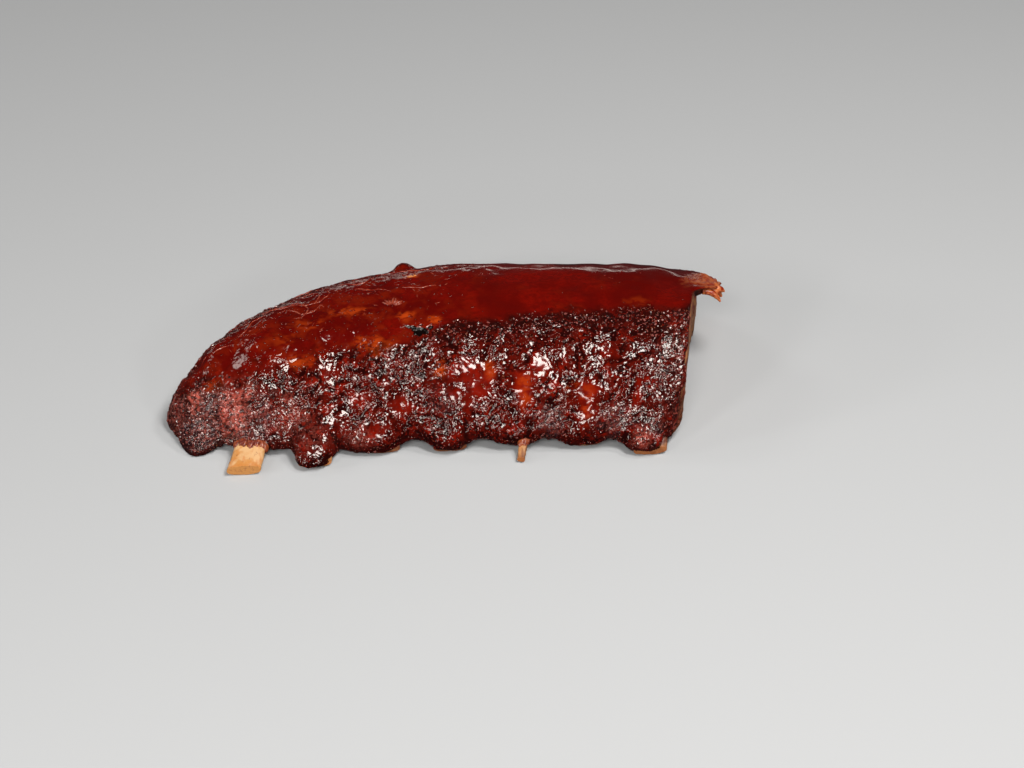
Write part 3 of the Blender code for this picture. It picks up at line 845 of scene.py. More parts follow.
@dataclass(frozen=True)
class BarkFinish:
    """Dark bark under wet sauce, with char, fat, the cut and the membrane below, and painted shade in its
    creases, along its low lip, in the pit and at the cut end.
    """

    sauce: Colour = (0.134, 0.0024, 0.0005)
    sauce_deep: Colour = (0.072, 0.0012, 0.0004)
    sauce_stirred: Colour = (0.128, 0.0070, 0.0010)
    crease_shade_and_speck: Colour = (0.012, 0.0008, 0.0006)
    bark: Colour = (0.064, 0.0030, 0.0013)
    ember: Colour = (0.150, 0.0042, 0.0006)
    crust: Colour = (0.030, 0.0044, 0.0034)
    crust_pale: Colour = (0.230, 0.0460, 0.0340)
    soot_and_shadow: Colour = (0.012, 0.0016, 0.0012)
    fat: Colour = (0.330, 0.0360, 0.0034)
    bare_fat: Colour = (0.720, 0.2300, 0.0230)
    pink: Colour = (0.370, 0.0760, 0.0560)
    char: Colour = (0.010, 0.0042, 0.0044)
    ash: Colour = (0.115, 0.0640, 0.0740)
    membrane: Colour = (0.150, 0.0420, 0.0150)
    membrane_pale: Colour = (0.330, 0.1300, 0.0500)
    cut_bark: Colour = (0.050, 0.0120, 0.0060)
    cut_fat: Colour = (0.400, 0.1650, 0.0600)
    cut_lean: Colour = (0.150, 0.0480, 0.0220)
    cut_lean_pale: Colour = (0.300, 0.1250, 0.0640)
    cut_seam: Colour = (0.400, 0.1900, 0.0950)
    cut_smoked: Colour = (0.230, 0.0450, 0.0260)
    cut_membrane: Colour = (0.330, 0.1300, 0.0380)
    torn_pale: Colour = (0.380, 0.1050, 0.0340)
    torn_red: Colour = (0.200, 0.0160, 0.0050)
    gloss: float = 1.42

    def material(self) -> bpy.types.Material:
        """Build the material on the skin's attributes."""
        f = Finish("bark_under_sauce")
        pool, char, crust, fat, pink = map(f.attribute, ("pool", "char", "crust", "fat", "pink"))
        lump, soot_and_shadow, under, cut = map(f.attribute, ("lump", "soot_and_shadow", "under", "cut"))
        pit, layer, stirred, lip = map(f.attribute, ("pit", "layer", "stirred", "lip"))
        torn, sleek, glint = map(f.attribute, ("torn", "sleek", "glint"))
        broad = f.noise(16 * MM, 3, 1.0, twist=0.4)
        blotch = f.noise(6 * MM, 3, 2.0, twist=0.6)
        speck = f.noise(1.3 * MM, 2, 3.0)
        dust = f.noise(0.6 * MM, 1, 4.0)
        grit = f.noise(0.85 * MM, 1, 9.0, twist=0.5)
        film = f.noise(1.7 * MM, 0.8, 8.0, twist=0.7)
        swirl = f.noise(7 * MM, 1, 12.0, twist=0.9)
        wave = f.maths("SINE", f.maths("MULTIPLY", swirl, 42.0))
        wrinkle = f.maths("ADD", 0.5, f.maths("MULTIPLY", wave, 0.5))

        # Painted shade: the creases between lumps and the low places of the film bump take the near-black
        # crease colour, which also makes random dark specks
        bark = f.blend(f.span(lump, 0.28, 0.66), self.crease_shade_and_speck, self.bark)
        glowing = f.maths("MULTIPLY", f.span(blotch, 0.50, 0.63), f.span(lump, 0.3, 0.7))
        bark = f.blend(glowing, bark, self.ember)
        bark = f.blend(f.span(speck, 0.54, 0.66, 0, 0.7), bark, self.crease_shade_and_speck)
        bark = f.blend(f.span(film, 0.34, 0.46, 0.85, 0), bark, self.crease_shade_and_speck)
        bark = f.blend(f.maths("MULTIPLY", sleek, f.span(blotch, 0.30, 0.60, 0.55, 1.0)), bark, self.ember)
        dry = f.blend(f.span(speck, 0.46, 0.60), self.crust, self.crust_pale)
        dry = f.blend(f.span(dust, 0.52, 0.60, 0, 0.8), dry, self.char)
        dry = f.blend(f.span(blotch, 0.50, 0.64, 0, 0.8), dry, bark)
        bark = f.blend(f.maths("MULTIPLY", crust, 0.85), bark, dry)
        # Soot, and painted shadow at the cut end, in near black
        bark = f.blend(f.maths("MULTIPLY", soot_and_shadow, f.span(speck, 0.35, 0.60, 0.96, 0.45)), bark, self.soot_and_shadow)
        streak = f.noise(2.0 * MM, 4, 3.0, stretch=(0.5, 1.0, 1.0), twist=1.2)
        sauce = f.blend(f.span(broad, 0.38, 0.64), self.sauce_deep, self.sauce)
        sauce = f.blend(f.span(streak, 0.40, 0.64, 0, 0.6), sauce, self.sauce_deep)
        sauce = f.blend(f.span(speck, 0.44, 0.62, 0, 0.45), sauce, self.sauce_deep)
        turned = f.maths("MULTIPLY", stirred, f.span(blotch, 0.44, 0.66, 0, 0.8))
        sauce = f.blend(turned, sauce, self.sauce_stirred)
        colour = f.blend(pool, bark, sauce)
        glow = f.maths("MULTIPLY", fat, f.span(f.maths("ADD", blotch, streak), 0.84, 1.16, 0.0, 1.25))
        colour = f.blend(glow, colour, self.fat)
        colour = f.blend(f.span(fat, 0.86, 0.97), colour, self.bare_fat)
        mottled = f.maths("MULTIPLY", f.span(speck, 0.34, 0.56), f.span(dust, 0.40, 0.58, 0.25, 1.0))
        colour = f.blend(f.maths("MULTIPLY", pink, mottled), colour, self.pink)
        burnt = f.blend(f.span(dust, 0.50, 0.62), self.char, self.ash)
        colour = f.blend(f.maths("MULTIPLY", char, f.span(speck, 0.30, 0.60, 1.0, 0.35)), colour, burnt)
        # Painted shade: the pit and its walls are painted near black
        hollow = f.span(pit, 0.03, 0.30)
        colour = f.blend(hollow, colour, (0.003, 0.0012, 0.0010))
        flesh = f.blend(f.span(speck, 0.40, 0.60), self.torn_red, self.torn_pale)
        colour = f.blend(torn, colour, flesh)

        fibre = f.noise(1.1 * MM, 3, 6.0, stretch=(0.25, 1.0, 1.0), twist=0.8)
        skin_below = f.blend(f.span(blotch, 0.36, 0.66), self.membrane, self.membrane_pale)
        skin_below = f.blend(f.span(speck, 0.62, 0.72, 0, 0.6), skin_below, self.crease_shade_and_speck)
        colour = f.blend(under, colour, skin_below)

        lean = f.blend(f.span(fibre, 0.36, 0.66), self.cut_lean, self.cut_lean_pale)
        lean = f.blend(f.span(blotch, 0.46, 0.58, 0, 0.7), lean, self.cut_seam)
        wavy = f.maths("ADD", layer, f.span(blotch, 0.2, 0.8, -0.08, 0.08))
        wavy = f.maths("ADD", wavy, f.span(speck, 0.2, 0.8, -0.03, 0.03))
        cut_colour = self.cut_bark
        for start, stop, deeper in (
            (0.03, 0.06, self.cut_smoked),
            (0.09, 0.12, self.cut_fat),
            (0.20, 0.25, self.cut_smoked),
            (0.30, 0.48, lean),
            (0.84, 0.88, self.cut_membrane),
            (0.95, 0.98, self.cut_bark),
        ):
            cut_colour = f.blend(f.span(wavy, start, stop), cut_colour, deeper)
        colour = f.blend(cut, colour, cut_colour)
        # Painted shade along the low front lip
        colour = f.blend(f.maths("MULTIPLY", lip, 0.75), colour, self.crease_shade_and_speck)
        f.feed(f.shader.inputs["Base Color"], colour)

        shine = f.blend(f.span(blotch, 0.50, 0.66), (0.08,) * 3, (0.14,) * 3)
        for share, roughness in (
            (sleek, 0.11), (crust, 0.13), (soot_and_shadow, 0.12), (pool, 0.13), (char, 0.16),
            (torn, 0.35), (hollow, 0.14), (under, 0.40), (cut, 0.60),
        ):
            shine = f.blend(share, shine, (roughness,) * 3)
        f.feed(f.shader.inputs["Roughness"], shine)
        f.shader.inputs["IOR"].default_value = self.gloss

        still = f.span(f.maths("MULTIPLY", stirred, blotch), 0.26, 0.46, 0.96, 0.25)
        smooth = f.maths("MULTIPLY", pool, still)
        rough = f.maths("MULTIPLY", f.maths("SUBTRACT", 1.0, smooth), f.span(sleek, 0.1, 0.8, 1.0, 0.15))
        filmed = f.maths("MULTIPLY", rough, f.span(glint, 0.1, 0.8, 1.0, 0.5))
        normal = f.roughen(film, 0.15 * MM, None, filmed)
        wet = f.maths("MULTIPLY", rough, f.maths("SUBTRACT", 1.0, f.maths("MAXIMUM", crust, under)))
        folded = f.maths("MAXIMUM", glint, f.span(broad, 0.46, 0.56, 0.0, 0.8))
        normal = f.roughen(wrinkle, 0.15 * MM, normal, f.maths("MULTIPLY", wet, folded))
        gritty = f.maths("MULTIPLY", crust, f.span(sleek, 0.1, 0.8, 1.0, 0.2))
        normal = f.roughen(grit, 0.26 * MM, normal, f.maths("MAXIMUM", gritty, f.maths("MAXIMUM", cut, torn)))
        f.feed(f.shader.inputs["Normal"], normal)
        return f.material


@dataclass(frozen=True)
class BoneFinish:
    """Dry roasted bone, stained where it leaves the meat, with painted shade on the tips that lie under the
    meat.
    """

    cream: Colour = (0.560, 0.345, 0.165)
    honey: Colour = (0.480, 0.215, 0.056)
    amber: Colour = (0.440, 0.140, 0.025)
    stain_and_shade: Colour = (0.090, 0.020, 0.008)
    below: Colour = (0.260, 0.105, 0.042)
    rim: Colour = (0.220, 0.085, 0.030)
    marrow: Colour = (0.330, 0.130, 0.040)
    pore: Colour = (0.200, 0.070, 0.022)
    roughness: float = 0.5

    def material(self) -> bpy.types.Material:
        """Build the material on the bone's attribute."""
        f = Finish("roasted_rib_bone")
        bare, tip = f.attribute("bare"), f.attribute("tip")
        patch = f.noise(4 * MM, 3, 1.0, twist=0.5)
        streak = f.noise(2.2 * MM, 3, 3.0, stretch=(1.0, 0.3, 1.0), twist=0.4)
        grainy = f.noise(0.8 * MM, 3, 2.0, stretch=(1.0, 0.35, 1.0))
        colour = f.blend(f.span(patch, 0.40, 0.60), self.honey, self.cream)
        colour = f.blend(f.span(streak, 0.54, 0.72, 0, 0.6), colour, self.amber)
        colour = f.blend(f.span(grainy, 0.60, 0.70, 0, 0.6), colour, self.pore)
        ragged = f.maths("ADD", bare, f.span(streak, 0.3, 0.7, -0.22, 0.22))
        colour = f.blend(f.span(ragged, 0.50, 0.85), self.rim, colour)
        # The stain colour is real stain where the meat leaves the bone, and painted shade on the tips under
        # the meat
        bed = f.maths("MULTIPLY", f.span(patch, 0.36, 0.60), f.span(bare, 0.0, 0.15, 0.85, 0.0))
        bedded = f.blend(bed, self.stain_and_shade, self.below)
        bedded = f.blend(f.span(grainy, 0.56, 0.68, 0, 0.7), bedded, self.stain_and_shade)
        colour = f.blend(f.span(ragged, 0.15, 0.50), bedded, colour)
        spongy = f.blend(f.span(f.noise(0.7 * MM, 2, 6.0), 0.34, 0.46), self.marrow, self.honey)
        colour = f.blend(f.span(tip, 0.1, 0.5, 0, 0.45), colour, self.amber)
        colour = f.blend(f.span(tip, 0.6, 0.95), colour, spongy)
        f.feed(f.shader.inputs["Base Color"], colour)
        dull = f.span(patch, 0.3, 0.7, self.roughness - 0.1, self.roughness + 0.15)
        f.feed(f.shader.inputs["Roughness"], dull)
        f.feed(f.shader.inputs["Normal"], f.roughen(grainy, 0.25 * MM))
        return f.material


@dataclass(frozen=True)
class SpeckFinish:
    """A small scattered thing: two colours that change from one to the next, and its gloss."""

    name: str
    first: Colour
    second: Colour
    roughness: float
    patch: float = 2.5 * MM
    grain: float = 0.05 * MM

    def material(self) -> bpy.types.Material:
        """Build the material."""
        f = Finish(self.name)
        patch = f.span(f.noise(self.patch, 2, 5.0), 0.4, 0.6)
        f.feed(f.shader.inputs["Base Color"], f.blend(patch, self.first, self.second))
        fine = f.noise(0.35 * MM, 2, 7.0)
        dull = f.span(fine, 0.3, 0.7, self.roughness * 0.8, self.roughness * 1.2)
        f.feed(f.shader.inputs["Roughness"], dull)
        f.feed(f.shader.inputs["Normal"], f.roughen(fine, self.grain))
        return f.material


@dataclass(frozen=True)
class FloorFinish:
    """A plain pale floor."""

    colour: Colour = (0.413, 0.446, 0.478)
    roughness: float = 0.7

    def material(self) -> bpy.types.Material:
        """Build the material."""
        f = Finish("pale_floor")
        f.shader.inputs["Base Color"].default_value = (*self.colour, 1.0)
        f.shader.inputs["Roughness"].default_value = self.roughness
        return f.material


# --- the meat ----------------------------------------------------------------------------------------


@dataclass
class MeatSlab:
    """The slab of meat: one closed skin with its bark, hollow underside and cut face."""

    form: RackForm
    relief: Relief
    zone_map: ZoneMap
    finish: BarkFinish
    nose_rings: int = 34
    nose_length: float = 14 * MM
    first_station: float = 0.4 * MM
    pitch: float = 0.48 * MM
    rim_rings: int = 4
    rim_round: float = 1.6 * MM
    rim_step: float = 0.8 * MM
    rim_inset: float = 1.3 * MM
    cap_rings: int = 9
    nose_cap_rings: int = 3
    nose_cap_step: float = 0.25 * MM
    nose_spacing: float = 1.35
    cut_clearance: float = 0.3 * MM
    middle_margin: float = 1.2 * MM
    middle_share: float = 0.9
    front_cell: float = 0.46 * MM
    top_cell: float = 1.0 * MM
    loin_cell: float = 1.6 * MM
    under_cell: float = 2.8 * MM
    front_until: float = 38.0
    spline_steps: int = 60
    cut_fibre: Pair = (0.5 * MM, 2.4 * MM)
    cut_from: Pair = (6 * MM, 15 * MM)
    points: Array = field(init=False)
    normals: Array = field(init=False)
    behind: Array = field(init=False)
    stations: Array = field(init=False)
    back: int = field(init=False)

    def outline(self) -> tuple[Array, Array]:
        """The full-size cross-section, with finer points where the skin shows most.

        Returns:
            Its points in metres, and 1 for each of them that is on the hollow underside.
        """
        form = self.form
        corners = [*form.top_side, *form.loin_foot, *form.under_side, *form.front_lip]
        curve = curve_through(corners, self.spline_steps, True)
        knot = np.arange(len(curve)) / self.spline_steps
        foot, lip = len(form.top_side), len(corners) - len(form.front_lip)
        cell = np.full(len(curve), self.top_cell)
        cell[curve[:, 0] < self.front_until] = self.front_cell
        cell[(knot > foot - 3) & (knot < foot + 2)] = self.loin_cell
        cell[(knot >= foot + 2) & (knot < lip)] = self.under_cell
        lengths = np.linalg.norm(np.roll(curve, -1, 0) - curve, axis=1) * MM
        steps = lengths / cell
        reach = np.concatenate([[0.0], np.cumsum(steps)])
        count = round(reach[-1])
        wanted = reach[-1] * np.arange(count) / count
        closed = np.vstack([curve, curve[:1]])
        made = np.stack([np.interp(wanted, reach, closed[:, k]) for k in (0, 1)], axis=-1) * MM
        at = np.interp(wanted, reach, np.append(knot, len(corners)))
        under = smoothstep(foot + 1.3, foot + 2.3, at) * (1 - smoothstep(lip - 0.3, lip + 0.7, at))
        self.back = int(np.argmin(np.abs(at - foot)))
        return made, under

    def ring_places(self) -> tuple[Array, Array]:
        """The stations along the rack, and how far each ring is set in at the cut.

        Returns:
            Both as columns.
        """
        form = self.form
        share = (np.arange(self.nose_rings) / self.nose_rings) ** self.nose_spacing
        nose = form.taper_end_x + self.first_station + (self.nose_length - self.first_station) * share
        start, stop = form.taper_end_x + self.nose_length, form.cut_end_x - self.rim_round
        body = np.linspace(start, stop, round((stop - start) / self.pitch))
        turn = np.arange(1, self.rim_rings + 1) / self.rim_rings
        rim = stop + self.rim_round * turn
        step_in = self.rim_step * (1 - np.sqrt(1 - turn**2 * 0.999))
        set_in = np.concatenate([np.zeros(len(nose) + len(body)), step_in])
        return np.concatenate([nose, body, rim])[:, None], set_in[:, None]

    @staticmethod
    def grid_normals(points: Array) -> Array:
        """Outward normals of a grid of rings, closed round each ring."""
        along = np.gradient(points, axis=0)
        round_ring = np.roll(points, -1, 1) - np.roll(points, 1, 1)
        return unit(np.cross(along, round_ring))

    def inset_rings(self, ring: Array, count: int) -> list[Array]:
        """Rings inside an end ring, each nearer to the middle line between its outer curve and its underside.

        Args:
            ring: The points of the end ring.
            count: How many rings to make.

        Returns:
            The points of each.
        """
        outer, below = ring[: self.back + 1], ring[: self.back : -1]
        low, high = outer[0, 1] + self.middle_margin, outer[-1, 1] - self.middle_margin
        places = np.clip(ring[:, 1], min(low, high), high)
        middle = np.zeros_like(ring)
        for axis in (0, 2):
            above = np.interp(places, np.maximum.accumulate(outer[:, 1]), outer[:, axis])
            under = np.interp(places, np.maximum.accumulate(below[:, 1]), below[:, axis])
            middle[:, axis] = (above + under) / 2
        middle[:, 1] = places
        return [ring + (middle - ring) * self.middle_share * k / count for k in range(1, count + 1)]

    def ladder(self, ring: Array, first: int, facing: int) -> list[tuple[int, ...]]:
        """Triangles across what an innermost ring still leaves open.

        Args:
            ring: Its points.
            first: The number of its first point in the mesh.
            facing: 1 if the end faces +X, and -1 if it faces -X.

        Returns:
            The triangles.
        """
        outer, under = 1, len(ring) - 1
        made = [(0, under, 1)]
        while outer < self.back or under > self.back + 1:
            if under == self.back + 1 or (outer < self.back and ring[outer + 1, 1] <= ring[under - 1, 1]):
                made.append((outer, under, outer + 1))
                outer += 1
            else:
                made.append((outer, under, under - 1))
                under -= 1
        return [tuple(first + i for i in corner[::facing]) for corner in made]

    def build(self) -> bpy.types.Object:
        """Make the slab and dress it."""
        outline, under_share = self.outline()
        x, step_in = self.ring_places()
        behind, height = self.form.section(x, outline, step_in)
        pull = self.form.shred_pull(x, behind, height)
        pulled = x + pull - self.form.corner_pull(x, behind)
        drawn = pull / self.form.shred_reach
        plain = self.form.placed(pulled, behind, height - self.form.shred_droop * drawn**2)
        rings, count = plain.shape[:2]
        stations = np.broadcast_to(x, (rings, count))
        under = np.broadcast_to(under_share, (rings, count))
        normals = self.grid_normals(plain)
        if normals[rings // 2, count // 5, 2] < 0:
            normals = -normals
        skin = plain + normals * self.relief.coarse(plain, normals, stations, behind)[..., None]
        zones = self.zone_map.draw(plain, normals, stations, behind, under, pull)
        raised, lump = self.relief.fine(plain, zones)
        finer = self.grid_normals(skin)
        finer = finer * np.sign((finer * normals).sum(-1, keepdims=True))
        skin = skin + finer * raised[..., None]
        skin[..., 2] = np.maximum(skin[..., 2], 0.0)
        self.points, self.normals, self.behind, self.stations = skin, finer, behind, x[:, 0]

        cut_edge = skin[-1].copy()
        inset = self.rim_inset + self.form.shred_root * drawn[-1]
        inward = unit(finer[-1] * np.array((0, 1, 1))) * -inset[:, None]
        inward[:, 0] = -pull[-1]
        first_cut = cut_edge + inward
        first_cut[:, 2] = np.maximum(first_cut[:, 2], self.cut_clearance)
        cut_rings = [first_cut, *self.inset_rings(first_cut, self.cap_rings)]
        nose_rings = self.inset_rings(skin[0], self.nose_cap_rings)
        for k, ring in enumerate(nose_rings):
            ring[:, 0] -= self.nose_cap_step * (k + 1)
        rough = np.array([min(1.0, k / 2) for k in range(len(cut_rings))])
        for ring, share in zip(cut_rings, rough):
            ring[:, 0] += share * self.cut_fibre[0] * noise_at(ring, self.cut_fibre[1], (5, 5, 1))
        verts = np.concatenate([skin.reshape(-1, 3), *cut_rings, *nose_rings])

        faces = [self.quads(0, rings, count)]
        cut_start = rings * count
        nose_start = cut_start + len(cut_rings) * count
        faces.append(self.quads(cut_start, len(cut_rings), count))
        faces.append(self.bridge((rings - 1) * count, cut_start, count))
        faces.append(self.quads(nose_start, len(nose_rings), count)[:, ::-1])
        faces.append(self.bridge(0, nose_start, count)[:, ::-1])
        triangles = self.ladder(cut_rings[-1], nose_start - count, 1)
        triangles += self.ladder(nose_rings[-1], len(verts) - count, -1)
        mesh = bpy.data.meshes.new("meat_slab")
        mesh.from_pydata(verts.tolist(), [], np.concatenate(faces).tolist() + triangles)

        layer_out = np.where(np.arange(count) <= self.back, 0.0, 1.0)
        self.store(mesh, zones, lump, under, cut_rings, nose_rings, layer_out)
        mesh.materials.append(self.finish.material())
        mesh.shade_smooth()
        return add_object("meat_slab", mesh)

    @staticmethod
    def quads(start: int, rings: int, count: int) -> Array:
        """The faces between rings of points that follow each other in the mesh."""
        first = start + np.arange(rings - 1)[:, None] * count
        here, after = np.arange(count), (np.arange(count) + 1) % count
        corners = [first + here, first + count + here, first + count + after, first + after]
        return np.stack(corners, -1).reshape(-1, 4)

    @staticmethod
    def bridge(outer: int, inner: int, count: int) -> Array:
        """The faces between two rings, by the numbers of their first points."""
        here, after = np.arange(count), (np.arange(count) + 1) % count
        return np.stack([outer + here, inner + here, inner + after, outer + after], -1)

    def store(
        self,
        mesh: bpy.types.Mesh,
        zones: Zones,
        lump: Array,
        under: Array,
        cut_rings: list[Array],
        nose_rings: list[Array],
        layer_out: Array,
    ) -> None:
        """Keep the zones in the mesh, for its finish and for what is scattered on it.

        Args:
            mesh: The slab's mesh.
            zones: The zones of its rings.
            lump: How far each point stands out of the creases.
            under: 1 on the underside.
            cut_rings: The rings across the cut face.
            nose_rings: The rings across the rounded end.
            layer_out: 0 for each point on the outer side of a ring, and 1 below.
        """
        count = len(layer_out)
        back = np.concatenate([ring[:, 1] for ring in cut_rings]) - self.form.front_y
        at_cut = smoothstep(*self.cut_from, back)
        ends = np.arange(len(cut_rings))[:, None] / (2 * len(cut_rings))
        layers = layer_out + np.where(layer_out > 0.5, -ends, ends)
        as_drawn = ("pool", "stirred", "lip", "torn", "fat", "soot_and_shadow", "pit", "sleek", "glint")
        values = {name: (getattr(zones, name), 0.0, 0.0) for name in as_drawn}
        values |= {
            "char": (zones.char, 0.0, 0.8),
            "crust": (zones.crust, 1.0, 1.0),
            "pink": (zones.pink, 0.0, 0.2),
            "bead_cover": (zones.bead_cover(), 0.0, 0.0),
            "crumb_cover": (zones.crumb_cover(), 0.0, 0.6),
            "fleck_cover": (zones.fleck_cover(), 0.0, 0.0),
            "lump": (lump, 0.5, 0.5),
            "under": (under, 0.0, 0.0),
            "cut": (np.zeros_like(under), at_cut, 0.0),
            "layer": (np.zeros_like(under), layers.ravel(), 0.0),
        }
        for name, (skin, at_end, at_nose) in values.items():
            across = np.broadcast_to(at_end, len(cut_rings) * count)
            flat = np.concatenate([skin.ravel(), across, np.full(len(nose_rings) * count, at_nose)])
            mesh.attributes.new(name, "FLOAT", "POINT").data.foreach_set("value", flat.astype(np.float32))

    def surface(self, x: float, behind: float) -> tuple[Array, Array]:
        """A point of the upper skin and its normal.

        Args:
            x: Place along the rack.
            behind: Distance behind the front edge.

        Returns:
            The point and the normal.
        """
        ring = int(np.clip(np.searchsorted(self.stations, x), 1, len(self.stations) - 1))
        share = np.clip((x - self.stations[ring - 1]) / (self.stations[ring] - self.stations[ring - 1]), 0, 1)
        found = []
        for row in (ring - 1, ring):
            places = np.maximum.accumulate(self.behind[row, : self.back])
            values = np.concatenate([self.points[row, : self.back], self.normals[row, : self.back]], axis=1)
            found.append([np.interp(behind, places, values[:, k]) for k in range(6)])
        mixed = np.array(found[0]) * (1 - share) + np.array(found[1]) * share
        return mixed[:3], unit(mixed[3:])


# --- the bones ---------------------------------------------------------------------------------------


@dataclass
class RibBones:
    """The seven rib bones, swept along their lines in the meat."""

    form: RackForm
    finish: BoneFinish
    # Distance behind the front edge and height of points on each bone's line, in millimetres
    path: tuple[Pair, ...] = ((8, 8.2), (26, 13.7), (45, 16.4), (62, 13.0), (78, 9.0), (95.2, 7.0))
    # The same of a point just in front of the edge, for a bone that reaches at least so far
    neck: Pair = (-2.0, 4.7)
    neck_reach: float = 7
    tip_height: float = 2.2
    loin_clearance: float = 2.2 * MM
    # At the tip, in the middle and at the loin side
    half_widths: Triple = (6.1 * MM, 5.5 * MM, 5.9 * MM)
    half_heights: Triple = (2.0 * MM, 3.6 * MM, 3.3 * MM)
    tip_skew: float = 0.24
    # Shares of a bone's length: where its tip and skew end and its loin end begins, and where it is broken
    tip_until: float = 0.22
    skew_until: float = 0.06
    loin_from: float = 0.6
    broken_over: Pair = (0.16, 0.31)
    # Which bone ends in a splinter, counted from 0, and the splinter's half sizes
    splintered: int = 4
    splinter: Pair = (1.5 * MM, 1.0 * MM)
    splinter_shift: float = 2.2 * MM
    steps: int = 12
    sides: int = 48
    squareness: float = 2.5
    relief: float = 0.9 * MM
    relief_size: float = 5 * MM
    splinter_drop: float = 0.7 * MM
    bare_from: Pair = (-1.0 * MM, 4.0 * MM)
    # Below 1 a tip keeps the stain colour, which paints the shade of the tips that lie under the lobes
    bareness_and_shade: tuple[float, ...] = (1.0, 0.55, 0.24, 0.26, 0.50, 0.20, 0.42)
    # How far in front of the front edge the meat leaves each bone, in millimetres, where that shows
    cuff_from: tuple[float | None, ...] = (5.0, None, None, None, 1.8, None, None)

    def line(self, place: float, reach: float) -> Array:
        """Points of a rib's centre line, from its tip to its loin end."""
        form = self.form
        front = [(-reach, self.tip_height)] + ([self.neck] if reach > self.neck_reach else [])
        made = [
            (place * MM + form.rib_slant * back * MM / form.width, form.front_y + back * MM, height * MM)
            for back, height in front
        ]
        made += [tuple(form.rib_line(place, back, height)) for back, height in self.path]
        x, y, z = made[-1]
        made[-1] = (x, y, max(z, self.half_heights[2] + self.loin_clearance))
        return curve_through(made, self.steps, False)

    def tree(self) -> Growth:
        """The tree that sweeps a flattened round section along a path."""
        g = Growth("rib_sweep")
        sides, square = g.take("Sides", "NodeSocketInt"), g.take("Squareness")
        relief, relief_size = g.take("Relief depth"), g.take("Relief size")
        curve = g.node("GeometryNodeMeshToCurve")
        g.feed(curve.inputs["Mesh"], g.geometry)
        keep = g.node("GeometryNodeCaptureAttribute")
        keep.capture_items.new("VECTOR", "Centre")
        g.feed(keep.inputs["Geometry"], curve.outputs[0])
        g.feed(keep.inputs["Centre"], g.node("GeometryNodeInputPosition").outputs[0])
        upright = g.node("GeometryNodeSetCurveNormal", mode="Z_UP")
        g.feed(upright.inputs["Curve"], keep.outputs["Geometry"])
        swept = g.sweep(upright.outputs[0], sides)
        here = g.node("GeometryNodeInputPosition").outputs[0]
        out = g.vector_maths("SUBTRACT", here, keep.outputs["Centre"]).outputs[0]
        side, along = g.named("side", "FLOAT_VECTOR"), g.named("along", "FLOAT_VECTOR")
        across = g.vector_maths("DOT_PRODUCT", out, side).outputs["Value"]
        up = g.vector_maths("DOT_PRODUCT", out, (0, 0, 1)).outputs["Value"]
        power = g.maths("DIVIDE", 2.0, square)
        wide = self.squared(g, across, power, g.named("half_width"))
        high = self.squared(g, up, power, g.named("half_height"))
        place = g.vector_maths("SCALE", side)
        g.feed(place.inputs["Scale"], wide)
        skewed = g.vector_maths("SCALE", along)
        g.feed(skewed.inputs["Scale"], g.maths("MULTIPLY", wide, g.named("skew")))
        rise = g.node("ShaderNodeCombineXYZ")
        g.feed(rise.inputs["Z"], high)
        total = g.vector_maths("ADD", keep.outputs["Centre"], place.outputs[0]).outputs[0]
        total = g.vector_maths("ADD", total, skewed.outputs[0]).outputs[0]
        total = g.vector_maths("ADD", total, rise.outputs[0]).outputs[0]
        moved = g.node("GeometryNodeSetPosition")
        g.feed(moved.inputs["Geometry"], swept)
        g.feed(moved.inputs["Position"], total)
        g.close(g.worn(moved.outputs[0], relief, relief_size))
        return g

    @staticmethod
    def squared(g: Growth, value: Socket, power: Socket, size: Socket) -> Socket:
        """A coordinate of the unit circle pushed towards a rounded square, at its true size."""
        raised = g.maths("POWER", g.maths("ABSOLUTE", value), power)
        return g.maths("MULTIPLY", g.maths("MULTIPLY", raised, g.maths("SIGN", value)), size)

    def shape(self, number: int) -> dict[str, Array]:
        """A bone's centre line, and along it its directions, half sizes, skew and how bare it is.

        Args:
            number: Which bone, from 0 at the rounded end.

        Returns:
            Each by its name.
        """
        place, reach = self.form.ribs[number]
        line = self.line(place, reach)
        along = unit(np.gradient(line, axis=0) * np.array((1, 1, 0)))
        side = np.stack([along[:, 1], -along[:, 0], np.zeros(len(line))], axis=-1)
        share = np.linspace(0, 1, len(line))
        to_tip, to_loin = 1 - smoothstep(0, self.tip_until, share), smoothstep(self.loin_from, 1, share)
        wide, high = (
            middle + (tip - middle) * to_tip + (loin - middle) * to_loin
            for tip, middle, loin in (self.half_widths, self.half_heights)
        )
        skew = self.tip_skew * (1 - smoothstep(0, self.skew_until, share))
        if number == self.splintered:
            broken = 1 - smoothstep(*self.broken_over, share)
            wide = wide + (self.splinter[0] - wide) * broken
            high = high + (self.splinter[1] - high) * broken
            line = line + side * (self.splinter_shift * broken)[:, None]
            line[:, 2] -= self.splinter_drop * broken
            skew = skew * 0
        in_front = self.form.front_y - line[:, 1]
        bare = smoothstep(*self.bare_from, in_front) * self.bareness_and_shade[number]
        inner_tip = (1 - smoothstep(0, 0.02, share)) * self.bareness_and_shade[number]
        return {
            "line": line, "side": side, "along": along, "half_width": wide, "half_height": high, "skew": skew,
            "bare": np.maximum(bare, 0.55 * smoothstep(0.97, 0.99, share)),
            "tip": np.maximum(inner_tip, smoothstep(0.98, 1, share)),
        }

    def build(self) -> list[bpy.types.Object]:
        """Make every bone, in order from the rounded end."""
        tree, material = self.tree(), self.finish.material()
        made = []
        for number in range(len(self.form.ribs)):
            values = {name: [value] for name, value in self.shape(number).items()}
            host = path_host("rib_path", values.pop("line"), values)
            made.append(tree.grow(host, f"dressed_rib_{number + 1}", {
                "Sides": self.sides, "Squareness": self.squareness, "Relief depth": self.relief,
                "Relief size": self.relief_size, "Finish": material,
            }))
        return made


# --- small things on the skin ------------------------------------------------------------------------


